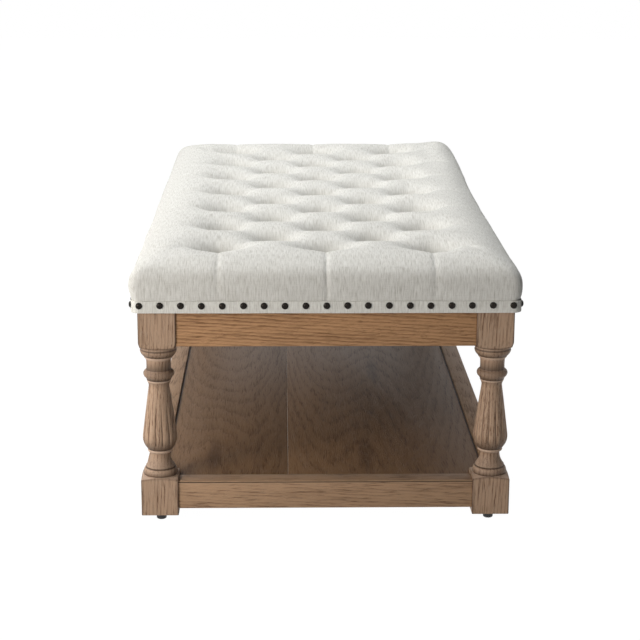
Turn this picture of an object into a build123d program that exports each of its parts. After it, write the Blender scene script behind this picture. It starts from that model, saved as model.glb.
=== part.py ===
from build123d import *
from math import cos, hypot, pi, radians, sin
import os

# Ottoman coffee table: a tufted cushion on four turned, reeded legs, with a low shelf.
# Millimetres. The origin is on the floor under the middle of the table, +Z is up, the long
# side runs along Y, and the front is the short side at -Y.

# Overall sizes
table_length = 1368.0        # outer faces of the legs, along Y
table_width = 636.0          # outer faces of the legs, along X
glide_height = 16.0          # floor to the underside of a leg
leg_height = 363.0           # underside of a leg to the top of its upper block
cushion_overhang = 12.0      # widest part of the cushion past the legs
cushion_height = 91.0        # apron's top edge to the cushion's crown

# Legs
leg_block = 64.0             # side of the square blocks
block_height = 64.0          # length of each square block
reed_count = 14
reed_depth = 1.1
reed_groove_width = 7.4
reed_groove_lead = 5.0       # a groove's stretches start this early, so that they meet

# Apron and shelf rails
rail_inset = 3.0             # rails lie back from the legs' outer faces
apron_height = 61.0
apron_thickness = 24.0
shelf_rail_height = 50.0
shelf_rail_thickness = 34.0
shelf_rail_foot = 12.0       # shelf rail's lower edge above the leg's underside
tenon_thickness = 12.0
tenon_length = 26.0
tenon_shoulder = 9.0         # tenon's edges below and above the rail's own
mortise_clearance = 0.2
mortise_end_room = 1.0

# Cross rails and corner blocks inside the apron
cross_rail_height = 45.0
cross_rail_thickness = 22.0
cross_rail_spacing = 440.0
corner_block_reach = 80.0    # how far a block runs along each apron rail
corner_block_height = 28.0

# Shelf
shelf_thickness = 16.0
shelf_recess = 4.0           # shelf's face below the rails' top edges
shelf_fit = 0.5              # gap round the shelf
board_left_width = 216.0
board_joint = 0.2
cleat_size = 18.0
bearer_height = 22.0
bearer_width = 40.0

# Screws, drawn with six flats
screw_flats = 6
screw_radius = 2.2
screw_head_radius = 4.2
screw_head_height = 2.6
screw_bite = 11.0            # how far a screw enters the piece that it holds
screw_hole_clearance = 0.3
cross_rail_screw_spacing = 300.0
cleat_screw_spacing_x = 340.0
cleat_screw_spacing_y = 800.0

# Glides, drawn with twelve sides
glide_radius = 8.7
glide_sides = 12

# Cushion: frame, deck, foam, cover
top_frame_thickness = 20.0
top_frame_width = 90.0
top_cross_width = 70.0
deck_thickness = 5.0
foam_thickness = 30.0
cover_wall = 2.5
cover_turn_under = 26.0      # strip of cover folded under the frame
cover_underside = 1.0
dust_cover_thickness = 0.8
soft_gap = 0.3
band_height = 20.5
band_thickness = 1.5
band_draw_in = 3.0           # cushion's foot lies back from its widest line
corner_radius = 14.0
roundover = 100.0            # from the widest line in to the flat of the crown
cover_roof = 1.8             # cover over the foam at the bottom of a tuft

# Tufts: rows of three and of two, one after the other, on square diamonds
tuft_margin = 147.0          # outer tufts from the cushion's widest line
tuft_rows = 13
tuft_floor_radius = 12.0
tuft_mouth_radius = 40.0     # a tuft's hollow at the crown
hollow_sides = 8
fold_depth = 13.0            # diagonal folds between the tufts
fold_half_width = 60.0
fold_swell = 2.2             # how far the face swells between a fold and the crown
pleat_depth = 13.0           # pleats from the outer tufts over the edge
pleat_width = 17.0
pleat_reach = 5.0            # a pleat's cut runs this far above the cushion's face
button_radius = 10.0
button_crown_radius = 6.0
button_height = 4.0
dome_sides = 6
dome_share = 0.78            # of a dome's height, above its rim

# The cushion's outline from its foot to its crown: shares of its rise and of the roundover
cushion_profile_shares = (
    (0.0, 0.03), (0.2, 0.0), (0.45, 0.015), (0.70, 0.09), (0.84, 0.22), (0.93, 0.45), (1.0, 1.0),
)

# Upholstery nails
nail_radius = 5.9
nail_crown_radius = 2.8
nail_height = 3.4
nail_pitch = 34.9
nail_drop = 7.6              # nail's centre below the band's upper edge
nail_corner = 15.9           # first nail from the cushion's widest line

overrun = 1.0                # cuts run past the faces that they open

os.makedirs("parts", exist_ok=True)

# Heights that follow
leg_foot = glide_height
frame_top = leg_foot + leg_height
apron_foot = frame_top - apron_height
shelf_rail_low = leg_foot + shelf_rail_foot
shelf_rail_top = shelf_rail_low + shelf_rail_height
shelf_top = shelf_rail_top - shelf_recess
shelf_underside = shelf_top - shelf_thickness
top_frame_foot = frame_top + cover_underside
deck_foot = top_frame_foot + top_frame_thickness
foam_foot = deck_foot + deck_thickness
foam_top = foam_foot + foam_thickness
band_top = frame_top + band_height
crown = frame_top + cushion_height
tuft_floor = foam_top + soft_gap + cover_roof

# Plan sizes that follow
half_length = table_length / 2
half_width = table_width / 2
leg_x = half_width - leg_block / 2
leg_y = half_length - leg_block / 2
cushion_half_width = half_width + cushion_overhang
cushion_half_length = half_length + cushion_overhang
corners = {"front_left": (-1, -1), "front_right": (1, -1), "back_left": (-1, 1), "back_right": (1, 1)}


# Legs
# The turning between the two blocks, as shares of the leg's half width and of the length between
# the blocks, from the lower block up.
turned_length = leg_height - 2 * block_height
half_block = leg_block / 2
pommel_share = 0.0254        # the cone that rounds each block's end
turning_shares = (
    (0.83, pommel_share), (0.925, 0.042), (0.80, 0.072), (0.60, 0.124), (0.525, 0.172), (0.65, 0.204),
    (0.625, 0.204), (0.885, 0.250), (0.928, 0.302), (0.625, 0.590), (0.645, 0.590), (0.555, 0.700),
    (0.845, 0.782), (0.665, 0.812), (0.665, 0.888), (0.77, 0.896), (0.97, 0.950),
    (0.97, 1 - pommel_share),
)
# The bottom of a reed groove: its depth below the turning's outline, as shares of the whole depth
reed_outline_shares = ((0.775, 0.227), (0.885, 0.250), (0.928, 0.302), (0.641, 0.575))
reed_depth_shares = (0.0, 1.0, 1.0, -0.1)
turning_sides = 2 * reed_count   # the turning is drawn in flats, two to a reed


def turned(share):
    """Point of the turning's outline from a pair of shares: radius, then height."""
    return half_block * share[0], block_height + turned_length * share[1]


def turned_form(outline):
    """Solid turned about Z from its outline, in even flats: one flat's sector, then the pattern."""
    with BuildPart() as sector:
        with BuildSketch(Plane.XZ):
            with BuildLine():
                Polyline((0, outline[0][1]), *outline, (0, outline[-1][1]), close=True)
            make_face()
        extrude(amount=half_block, both=True)
        for side in (1, -1):
            wall = Plane.XZ.rotated((0, 0, side * 180 / turning_sides))
            split(bisect_by=wall, keep=Keep.TOP if side > 0 else Keep.BOTTOM)
    with BuildPart() as form:
        with PolarLocations(0, turning_sides):
            add(sector.part)
    return form.part


block_corner = hypot(half_block, half_block)
pommel_height = turned_length * pommel_share
pommel_neck = half_block * turning_shares[0][0]
pommel_block = turned_form([
    (block_corner, 0), (block_corner, block_height), (pommel_neck, block_height + pommel_height),
])

# Groove between two reeds, a V whose bottom follows the turning below its outline
groove_route = [
    (turned(share)[0] - reed_depth * depth_share, turned(share)[1])
    for share, depth_share in zip(reed_outline_shares, reed_depth_shares)
]
with BuildPart() as reed_groove:
    for (start_radius, start_height), (end_radius, end_height) in zip(groove_route, groove_route[1:]):
        rise = Vector(end_radius - start_radius, 0, end_height - start_height)
        station = Plane(origin=(start_radius, 0, start_height), x_dir=(0, -1, 0), z_dir=rise)
        with BuildSketch(station.offset(-reed_groove_lead)):
            Polygon((0, 0), (reed_groove_width, 2 * reed_depth), (-reed_groove_width, 2 * reed_depth),
                    align=None)
        extrude(amount=reed_groove_lead + rise.length)

with BuildPart() as turning:
    add(turned_form([turned(share) for share in turning_shares]))
    with PolarLocations(0, reed_count):
        add(reed_groove.part, mode=Mode.SUBTRACT)
    # Square blocks, each with its inner end turned to a low cone
    with BuildPart(mode=Mode.PRIVATE) as block:
        add(pommel_block)
        Box(leg_block, leg_block, block_height + pommel_height,
            align=(Align.CENTER, Align.CENTER, Align.MIN), mode=Mode.INTERSECT)
    add(block.part)
    with Locations(Location((0, 0, leg_height), (180, 0, 0))):
        add(block.part)


def mortise_place(sx, sy, thickness, height, along_x):
    """Centre of the mortise of a rail that meets the leg at corner (sx, sy)."""
    back = rail_inset + thickness / 2
    reach = leg_block - mortise_depth / 2
    if along_x:
        return sx * (half_width - reach), sy * (half_length - back), height
    return sx * (half_width - back), sy * (half_length - reach), height


apron_tenon_height = apron_height - 2 * tenon_shoulder
shelf_tenon_height = shelf_rail_height - 2 * tenon_shoulder
apron_middle = frame_top - apron_height / 2
shelf_rail_middle = shelf_rail_low + shelf_rail_height / 2
mortise_depth = tenon_length + mortise_end_room
mortise_width = tenon_thickness + 2 * mortise_clearance
rail_joints = (
    (apron_thickness, apron_tenon_height, apron_middle),
    (shelf_rail_thickness, shelf_tenon_height, shelf_rail_middle),
)

for corner, (sx, sy) in corners.items():
    with BuildPart() as leg:
        with Locations((sx * leg_x, sy * leg_y, leg_foot)):
            add(turning.part)
        for thickness, tenon_height, middle in rail_joints:
            mortise_height = tenon_height + 2 * mortise_clearance
            with Locations(mortise_place(sx, sy, thickness, middle, True)):
                Box(mortise_depth, mortise_width, mortise_height, mode=Mode.SUBTRACT)
            with Locations(mortise_place(sx, sy, thickness, middle, False)):
                Box(mortise_width, mortise_depth, mortise_height, mode=Mode.SUBTRACT)
    leg.part.label = f"leg_{corner}"
    export_step(leg.part, f"parts/leg_{corner}.step")


# Apron and shelf rails, each with a tenon at both ends
rail_span_x = table_width - 2 * leg_block
rail_span_y = table_length - 2 * leg_block
frames = (
    ("apron", apron_thickness, apron_height, apron_middle, apron_tenon_height),
    ("shelf_rail", shelf_rail_thickness, shelf_rail_height, shelf_rail_middle, shelf_tenon_height),
)

for frame, thickness, height, middle, tenon_height in frames:
    rail_x = half_width - rail_inset - thickness / 2
    rail_y = half_length - rail_inset - thickness / 2
    sides = {
        "front": (0, -rail_y, rail_span_x, 0), "back": (0, rail_y, rail_span_x, 0),
        "left": (-rail_x, 0, rail_span_y, 90), "right": (rail_x, 0, rail_span_y, 90),
    }
    for side, (x, y, span, turn) in sides.items():
        with BuildPart() as rail:
            with Locations(Location((x, y, middle), (0, 0, turn))):
                Box(span, thickness, height)
                Box(span + 2 * tenon_length, tenon_thickness, tenon_height)
        rail.part.label = f"{frame}_{side}"
        export_step(rail.part, f"parts/{frame}_{side}.step")


# Cross rails between the long aprons, and corner blocks round the legs' inner corners
apron_inner_x = half_width - rail_inset - apron_thickness
apron_inner_y = half_length - rail_inset - apron_thickness
cross_rails = {"front": -cross_rail_spacing / 2, "back": cross_rail_spacing / 2}
screw_hole_radius = screw_radius + screw_hole_clearance
cross_screw_places = [(sx * cross_rail_screw_spacing / 2, y) for y in cross_rails.values() for sx in (-1, 1)]

for side, y in cross_rails.items():
    with BuildPart() as cross_rail:
        with BuildSketch(Plane.XY.offset(frame_top - cross_rail_height)):
            with Locations((0, y)):
                Rectangle(2 * apron_inner_x, cross_rail_thickness)
            with Locations(*[place for place in cross_screw_places if place[1] == y]):
                RegularPolygon(screw_hole_radius, screw_flats, mode=Mode.SUBTRACT)
        extrude(amount=cross_rail_height)
    cross_rail.part.label = f"apron_cross_rail_{side}"
    export_step(cross_rail.part, f"parts/apron_cross_rail_{side}.step")

leg_inner_x = half_width - leg_block
leg_inner_y = half_length - leg_block
# Each block's screw stands half-way between the leg's inner corner and the block's long face
block_neck = (corner_block_reach - (leg_block - rail_inset - apron_thickness)) / 4
corner_screw_places = [
    (sx * (leg_inner_x - block_neck), sy * (leg_inner_y - block_neck)) for sx, sy in corners.values()
]
for (corner, (sx, sy)), screw_place in zip(corners.items(), corner_screw_places):
    with BuildPart() as corner_block:
        with BuildSketch(Plane.XY.offset(frame_top - corner_block_height)):
            with BuildLine():
                Polyline(
                    (sx * leg_inner_x, sy * leg_inner_y),
                    (sx * leg_inner_x, sy * apron_inner_y),
                    (sx * (leg_inner_x - corner_block_reach), sy * apron_inner_y),
                    (sx * apron_inner_x, sy * (leg_inner_y - corner_block_reach)),
                    (sx * apron_inner_x, sy * leg_inner_y),
                    close=True,
                )
            make_face()
            with Locations(screw_place):
                RegularPolygon(screw_hole_radius, screw_flats, mode=Mode.SUBTRACT)
        extrude(amount=corner_block_height)
    corner_block.part.label = f"corner_block_{corner}"
    export_step(corner_block.part, f"parts/corner_block_{corner}.step")


# Shelf: two joined boards, notched round the legs, on cleats and a bearer
shelf_inner_x = half_width - rail_inset - shelf_rail_thickness
shelf_inner_y = half_length - rail_inset - shelf_rail_thickness
board_seam = board_left_width - shelf_inner_x
boards = {
    "left": (shelf_fit - shelf_inner_x, board_seam - board_joint / 2),
    "right": (board_seam + board_joint / 2, shelf_inner_x - shelf_fit),
}
notch = leg_block + 2 * shelf_fit
cleat_x = shelf_inner_x - cleat_size / 2
cleat_y = shelf_inner_y - cleat_size / 2
shelf_screw_places = [(x, y) for y in (-cleat_y, cleat_y)
                      for x in (-cleat_screw_spacing_x / 2, cleat_screw_spacing_x / 2)]
shelf_screw_places += [(x, y) for x in (-cleat_x, cleat_x)
                       for y in (-cleat_screw_spacing_y / 2, cleat_screw_spacing_y / 2)]

for side, (low, high) in boards.items():
    with BuildPart() as board:
        with BuildSketch(Plane.XY.offset(shelf_underside)):
            with Locations(((low + high) / 2, 0)):
                Rectangle(high - low, 2 * (shelf_inner_y - shelf_fit))
            with Locations(*[(sx * leg_x, sy * leg_y) for sx, sy in corners.values()]):
                Rectangle(notch, notch, mode=Mode.SUBTRACT)
        extrude(amount=shelf_thickness)
        with BuildSketch(Plane.XY.offset(shelf_underside)):
            with Locations(*[place for place in shelf_screw_places if low < place[0] < high]):
                RegularPolygon(screw_radius, screw_flats)
        extrude(amount=screw_bite, mode=Mode.SUBTRACT)
    board.part.label = f"shelf_board_{side}"
    export_step(board.part, f"parts/shelf_board_{side}.step")

cleats = {
    "front": (0, -cleat_y, 2 * leg_inner_x, cleat_size), "back": (0, cleat_y, 2 * leg_inner_x, cleat_size),
    "left": (-cleat_x, 0, cleat_size, 2 * leg_inner_y), "right": (cleat_x, 0, cleat_size, 2 * leg_inner_y),
}
for side, (x, y, size_x, size_y) in cleats.items():
    with BuildPart() as cleat:
        with BuildSketch(Plane.XY.offset(shelf_underside - cleat_size)):
            with Locations((x, y)):
                Rectangle(size_x, size_y)
            with Locations(*[place for place in shelf_screw_places
                             if abs(place[0] - x) < size_x / 2 and abs(place[1] - y) < size_y / 2]):
                RegularPolygon(screw_hole_radius, screw_flats, mode=Mode.SUBTRACT)
        extrude(amount=cleat_size)
    cleat.part.label = f"shelf_cleat_{side}"
    export_step(cleat.part, f"parts/shelf_cleat_{side}.step")

with BuildPart() as shelf_bearer:
    with Locations((0, 0, shelf_underside)):
        Box(2 * (shelf_inner_x - cleat_size), bearer_width, bearer_height,
            align=(Align.CENTER, Align.CENTER, Align.MAX))
shelf_bearer.part.label = "shelf_bearer"
export_step(shelf_bearer.part, "parts/shelf_bearer.step")


# Screws
def screw(shank_length):
    """A screw that points up from the origin, with its head below."""
    with BuildPart() as one:
        with BuildSketch():
            RegularPolygon(screw_head_radius, screw_flats)
        extrude(amount=-screw_head_height)
        with BuildSketch():
            RegularPolygon(screw_radius, screw_flats)
        extrude(amount=shank_length)
    return one.part


with BuildPart() as shelf_screws:
    with Locations(*[(x, y, shelf_underside - cleat_size) for x, y in shelf_screw_places]):
        add(screw(cleat_size + screw_bite))
shelf_screws.part.label = "shelf_screws"
export_step(shelf_screws.part, "parts/shelf_screws.step")

with BuildPart() as top_fixing_screws:
    corner_screws = (corner_screw_places, corner_block_height)
    cross_screws = (cross_screw_places, cross_rail_height)
    for places, height in (corner_screws, cross_screws):
        with Locations(*[(x, y, frame_top - height) for x, y in places]):
            add(screw(height + cover_underside + screw_bite))
top_fixing_screws.part.label = "top_fixing_screws"
export_step(top_fixing_screws.part, "parts/top_fixing_screws.step")


# Glides
with BuildPart() as glides:
    with BuildSketch():
        with Locations(*[(sx * leg_x, sy * leg_y) for sx, sy in corners.values()]):
            RegularPolygon(glide_radius, glide_sides)
    extrude(amount=glide_height)
glides.part.label = "glides"
export_step(glides.part, "parts/glides.step")


# Cushion's frame: two full-width rails, two between them, two cross rails, all flat
cover_inner_x = cushion_half_width - band_draw_in - cover_wall
cover_inner_y = cushion_half_length - band_draw_in - cover_wall
pad_x = cover_inner_x - soft_gap
pad_y = cover_inner_y - soft_gap
pad_corner = corner_radius - cover_wall - soft_gap
inner_frame_x = pad_x - top_frame_width
inner_frame_y = pad_y - top_frame_width
top_rails = {
    "front": (0, -pad_y + top_frame_width / 2, 2 * pad_x, top_frame_width),
    "back": (0, pad_y - top_frame_width / 2, 2 * pad_x, top_frame_width),
    "left": (-pad_x + top_frame_width / 2, 0, top_frame_width, 2 * inner_frame_y),
    "right": (pad_x - top_frame_width / 2, 0, top_frame_width, 2 * inner_frame_y),
    "cross_front": (0, -cross_rail_spacing / 2, 2 * inner_frame_x, top_cross_width),
    "cross_back": (0, cross_rail_spacing / 2, 2 * inner_frame_x, top_cross_width),
}
for name, (x, y, size_x, size_y) in top_rails.items():
    held = [place for place in corner_screw_places + cross_screw_places
            if abs(place[0] - x) < size_x / 2 and abs(place[1] - y) < size_y / 2]
    with BuildPart() as top_rail:
        with BuildSketch(Plane.XY.offset(top_frame_foot)):
            with Locations((x, y)):
                Rectangle(size_x, size_y)
        extrude(amount=top_frame_thickness)
        if name in ("front", "back"):
            outer = top_rail.edges().filter_by(Axis.Z).group_by(Axis.Y)[0 if name == "front" else -1]
            chamfer(outer, length=pad_corner)
        if held:
            with BuildSketch(Plane.XY.offset(top_frame_foot)):
                with Locations(*held):
                    RegularPolygon(screw_radius, screw_flats)
            extrude(amount=screw_bite, mode=Mode.SUBTRACT)
    top_rail.part.label = f"top_frame_{name}"
    export_step(top_rail.part, f"parts/top_frame_{name}.step")

layers = (("deck_board", deck_foot, deck_thickness), ("foam_pad", foam_foot, foam_thickness))
for name, foot, thickness in layers:
    with BuildPart() as layer:
        with BuildSketch(Plane.XY.offset(foot)) as layer_outline:
            Rectangle(2 * pad_x, 2 * pad_y)
            chamfer(layer_outline.vertices(), length=pad_corner)
        extrude(amount=thickness)
    layer.part.label = name
    export_step(layer.part, f"parts/{name}.step")

turn_under_x = pad_x - cover_turn_under
turn_under_y = pad_y - cover_turn_under
with BuildPart() as dust_cover:
    with BuildSketch(Plane.XY.offset(frame_top)):
        Rectangle(2 * (turn_under_x - soft_gap), 2 * (turn_under_y - soft_gap))
        with Locations(*corner_screw_places, *cross_screw_places):
            RegularPolygon(screw_hole_radius, screw_flats, mode=Mode.SUBTRACT)
    extrude(amount=dust_cover_thickness)
dust_cover.part.label = "dust_cover"
export_step(dust_cover.part, "parts/dust_cover.step")


# Tufts. Straight folds run from tuft to tuft along both diagonals, and the cushion's face falls to
# each fold in two flats. At the corners a fold runs on from the outermost tuft to the cushion's corner.
half_pitch = (cushion_half_width - tuft_margin) / 2
row_pitch = 2 * (cushion_half_length - tuft_margin) / (tuft_rows - 1)
row_places = [(row - (tuft_rows - 1) / 2) * row_pitch for row in range(tuft_rows)]
outer_x = 2 * half_pitch
outer_y = row_places[-1]
tuft_places = [(sx * half_pitch, y) for y in row_places[1::2] for sx in (-1, 1)]
tuft_places += [(sx * outer_x, y) for y in row_places[::2] for sx in (-1, 0, 1)]

hollow_slope = (tuft_mouth_radius - tuft_floor_radius) * cos(pi / hollow_sides)
hollow_depth = crown + overrun - tuft_floor
with BuildPart() as hollow:
    with BuildSketch(Plane.XY.offset(tuft_floor)):
        RegularPolygon(tuft_mouth_radius, hollow_sides, rotation=180 / hollow_sides)
    extrude(amount=hollow_depth + overrun)
    hollow_floor = hollow.faces().sort_by(Axis.Z)[0]
    chamfer(hollow_floor.edges(), length=hollow_slope, length2=hollow_depth, reference=hollow_floor)

# Each fold crosses the cushion in four rows of tufts, from one outer line of tufts to the other. Its
# corners on the plan are those of the box that it stays in.
rows_crossed = 4
folds = []
for first in range(-rows_crossed // 2, tuft_rows - 1, 2):
    last = first + rows_crossed
    start_y = row_places[0] + first * row_pitch
    end_y = start_y + rows_crossed * row_pitch
    low_x = 0 if first < 0 else -cushion_half_width
    low_y = start_y if first > 0 else -cushion_half_length
    high_x = 0 if last > tuft_rows - 1 else cushion_half_width
    high_y = end_y if last < tuft_rows - 1 else cushion_half_length
    folds.append((start_y, low_x, low_y, high_x, high_y))

fold_tools = []
for side in (1, -1):
    for start_y, low_x, low_y, high_x, high_y in folds:
        across = Plane(
            origin=(-side * outer_x, start_y, crown),
            x_dir=(-row_pitch, side * half_pitch, 0),
            z_dir=(side * half_pitch, row_pitch, 0),
        )
        with BuildPart() as fold:
            with BuildSketch(across):
                slope_middle = (overrun - fold_depth) / 2 + fold_swell
                Polygon(
                    (-fold_half_width, overrun), (-fold_half_width / 2, slope_middle), (0, -fold_depth),
                    (fold_half_width / 2, slope_middle), (fold_half_width, overrun), align=None,
                )
            extrude(amount=table_length, both=True)
            with Locations((side * (low_x + high_x) / 2, (low_y + high_y) / 2, crown)):
                Box(high_x - low_x, high_y - low_y, cushion_height, mode=Mode.INTERSECT)
        fold_tools.append(fold.part)

# Pleat: from a tuft at the local origin towards -Y, over the cushion's shoulder and down to the band.
# Each station gives its share of the roundover in from the widest line, of the cushion's rise, and of
# the pleat's depth and width there.
cushion_rise = crown - band_top
pleat_shares = (
    (1.35, 1.0, 1.0, 1.0), (0.45, 0.93, 0.55, 0.65), (0.13, 0.77, 0.42, 0.42), (0.03, 0.0, 0.25, 0.25),
)
pleat_tilts = (90, 78, 45, 0)
pleat_sections = []
for (inset_share, rise_share, depth_share, width_share), tilt in zip(pleat_shares, pleat_tilts):
    station = Plane(
        origin=(0, roundover * inset_share - tuft_margin, band_top + cushion_rise * rise_share),
        x_dir=(1, 0, 0),
        z_dir=(0, -sin(radians(tilt)), -cos(radians(tilt))),
    )
    depth = pleat_depth * depth_share
    half_mouth = pleat_width * width_share / 2 * (depth + pleat_reach) / depth
    with BuildSketch(station) as pleat_section:
        Polygon((-half_mouth, pleat_reach), (half_mouth, pleat_reach), (0, -depth), align=None)
    pleat_sections.append(pleat_section.sketch)
with BuildPart() as pleat:
    loft(sections=pleat_sections, ruled=True)
pleat_places = [Location((x, -outer_y, 0)) for x in (-outer_x, 0, outer_x)]
pleat_places += [Location((x, outer_y, 0), (0, 0, 180)) for x in (-outer_x, 0, outer_x)]
pleat_places += [Location((outer_x, y, 0), (0, 0, 90)) for y in row_places[::2]]
pleat_places += [Location((-outer_x, y, 0), (0, 0, -90)) for y in row_places[::2]]

# Cushion cover: rounded sections, from the drawn-in foot over the widest line to the crown
cover_sections = []
for rise_share, inset_share in cushion_profile_shares:
    inset = roundover * inset_share
    with BuildSketch(Plane.XY.offset(band_top + cushion_rise * rise_share)) as cover_section:
        RectangleRounded(
            2 * (cushion_half_width - inset), 2 * (cushion_half_length - inset), corner_radius + inset
        )
    cover_sections.append(cover_section.sketch)

with BuildPart() as cushion_cover:
    loft(sections=cover_sections, ruled=True)
    for fold_tool in fold_tools:
        add(fold_tool, mode=Mode.SUBTRACT)
    with Locations(*tuft_places):
        add(hollow.part, mode=Mode.SUBTRACT)
    with Locations(*pleat_places):
        add(pleat.part, mode=Mode.SUBTRACT)
    with BuildSketch(Plane.XY.offset(frame_top)):
        RectangleRounded(
            2 * (cushion_half_width - band_draw_in), 2 * (cushion_half_length - band_draw_in), corner_radius
        )
    extrude(amount=band_height)
    with BuildSketch(Plane.XY.offset(top_frame_foot)):
        RectangleRounded(2 * cover_inner_x, 2 * cover_inner_y, corner_radius - cover_wall)
    extrude(amount=foam_top + soft_gap - top_frame_foot, mode=Mode.SUBTRACT)
    with BuildSketch(Plane.XY.offset(frame_top)):
        Rectangle(2 * turn_under_x, 2 * turn_under_y)
    extrude(amount=cover_underside, mode=Mode.SUBTRACT)
cushion_cover.part.label = "cushion_cover"
export_step(cushion_cover.part, "parts/cushion_cover.step")


# Band of the same cloth round the cushion's foot
band_x = cushion_half_width - band_draw_in + soft_gap
band_y = cushion_half_length - band_draw_in + soft_gap
with BuildPart() as trim_band:
    with BuildSketch(Plane.XY.offset(frame_top)):
        RectangleRounded(
            2 * (band_x + band_thickness), 2 * (band_y + band_thickness),
            corner_radius + soft_gap + band_thickness,
        )
        RectangleRounded(2 * band_x, 2 * band_y, corner_radius + soft_gap, mode=Mode.SUBTRACT)
    extrude(amount=band_height)
trim_band.part.label = "trim_band"
export_step(trim_band.part, "parts/trim_band.step")


# Covered buttons and nails, as six-sided domes
def dome(radius, crown_radius, height):
    """Low dome on the XY plane, drawn with six sides above a thin upright rim."""
    with BuildPart() as one:
        with BuildSketch():
            RegularPolygon(radius, dome_sides)
        extrude(amount=height)
        crown_face = one.faces().sort_by(Axis.Z)[-1]
        slope_run = (radius - crown_radius) * cos(pi / dome_sides)
        chamfer(crown_face.edges(), length=slope_run, length2=height * dome_share, reference=crown_face)
    return one.part


with BuildPart() as tuft_buttons:
    with Locations(*[(x, y, tuft_floor) for x, y in tuft_places]):
        add(dome(button_radius, button_crown_radius, button_height))
tuft_buttons.part.label = "tuft_buttons"
export_step(tuft_buttons.part, "parts/tuft_buttons.step")

nail = dome(nail_radius, nail_crown_radius, nail_height)
nail_span_x = 2 * (cushion_half_width - nail_corner)
nail_span_y = 2 * (cushion_half_length - nail_corner)
nail_rows = {
    "front": (0, band_y, nail_span_x), "right": (90, band_x, nail_span_y),
    "back": (180, band_y, nail_span_x), "left": (-90, band_x, nail_span_y),
}
for side, (turn, distance, span) in nail_rows.items():
    gaps = round(span / nail_pitch)
    offsets = [span * (number / gaps - 1 / 2) for number in range(gaps + 1)]
    face = Location((0, 0, band_top - nail_drop), (0, 0, turn))
    with BuildPart() as nails:
        with Locations(*[face * Location((x, -distance - band_thickness, 0), (90, 0, 0)) for x in offsets]):
            add(nail)
    nails.part.label = f"nails_{side}"
    export_step(nails.part, f"parts/nails_{side}.step")
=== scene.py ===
"""Looks of a long ottoman coffee table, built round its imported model.

The table is a diamond-tufted linen cushion with a nailed band, on four turned and reeded legs with
a low shelf. Every length is in metres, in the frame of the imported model: the origin on the floor
under the middle of the table, +Z up, the long side along Y and the front at -Y.
"""

from __future__ import annotations

import logging
import math
import random
from collections.abc import Iterable
from dataclasses import dataclass, replace
from enum import Enum
from functools import cache

import bmesh
import bpy
from mathutils import Euler, Matrix, Vector, noise

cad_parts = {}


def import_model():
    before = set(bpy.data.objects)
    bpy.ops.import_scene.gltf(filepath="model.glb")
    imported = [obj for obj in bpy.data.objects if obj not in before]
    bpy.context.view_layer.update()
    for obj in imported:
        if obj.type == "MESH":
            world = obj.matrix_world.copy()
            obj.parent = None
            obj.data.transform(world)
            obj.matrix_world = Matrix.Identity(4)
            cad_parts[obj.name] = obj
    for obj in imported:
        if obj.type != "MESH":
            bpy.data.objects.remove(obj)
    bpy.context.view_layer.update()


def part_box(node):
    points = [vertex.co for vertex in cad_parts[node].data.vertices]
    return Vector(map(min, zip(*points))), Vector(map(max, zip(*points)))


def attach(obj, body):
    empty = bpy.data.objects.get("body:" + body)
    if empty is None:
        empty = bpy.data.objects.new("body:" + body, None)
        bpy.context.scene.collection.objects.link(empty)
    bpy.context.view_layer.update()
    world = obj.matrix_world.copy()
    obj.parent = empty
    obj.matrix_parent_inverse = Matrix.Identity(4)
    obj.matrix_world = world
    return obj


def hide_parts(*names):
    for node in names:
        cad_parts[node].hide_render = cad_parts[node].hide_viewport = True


LOG = logging.getLogger("ottoman_table")
BODY = "root"
MERGE_DISTANCE = 1e-6
SMOOTH_ANGLE = math.radians(35)
RIDGE_ANGLE = math.radians(40)
FLAT_ANGLE = math.radians(1)
NEARLY_ALL = 0.999
CUT_MAP = "cut"
LOG_LENGTH = 3.0
PITH_STRAY = 0.02
Material = bpy.types.Material
Node = bpy.types.Node
NodeTree = bpy.types.NodeTree
Socket = bpy.types.NodeSocket
Mesh = bmesh.types.BMesh
Edge = bmesh.types.BMEdge
Vert = bmesh.types.BMVert
Colour = tuple[float, float, float]
Triple = tuple[float, float, float]
Span = tuple[float, float]


def smooth_step(low: float, high: float, value: float) -> float:
    """Return 0 below low, 1 above high and a smooth rise between them."""
    share = min(1.0, max(0.0, (value - low) / (high - low)))
    return share * share * (3.0 - 2.0 * share)


def shade(colour: Colour, factor: float = 1.0, lift: float = 0.0) -> tuple[float, float, float, float]:
    """Return an opaque colour, with each part multiplied by a factor and lifted."""
    return (*(factor * part + lift for part in colour), 1.0)


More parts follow.
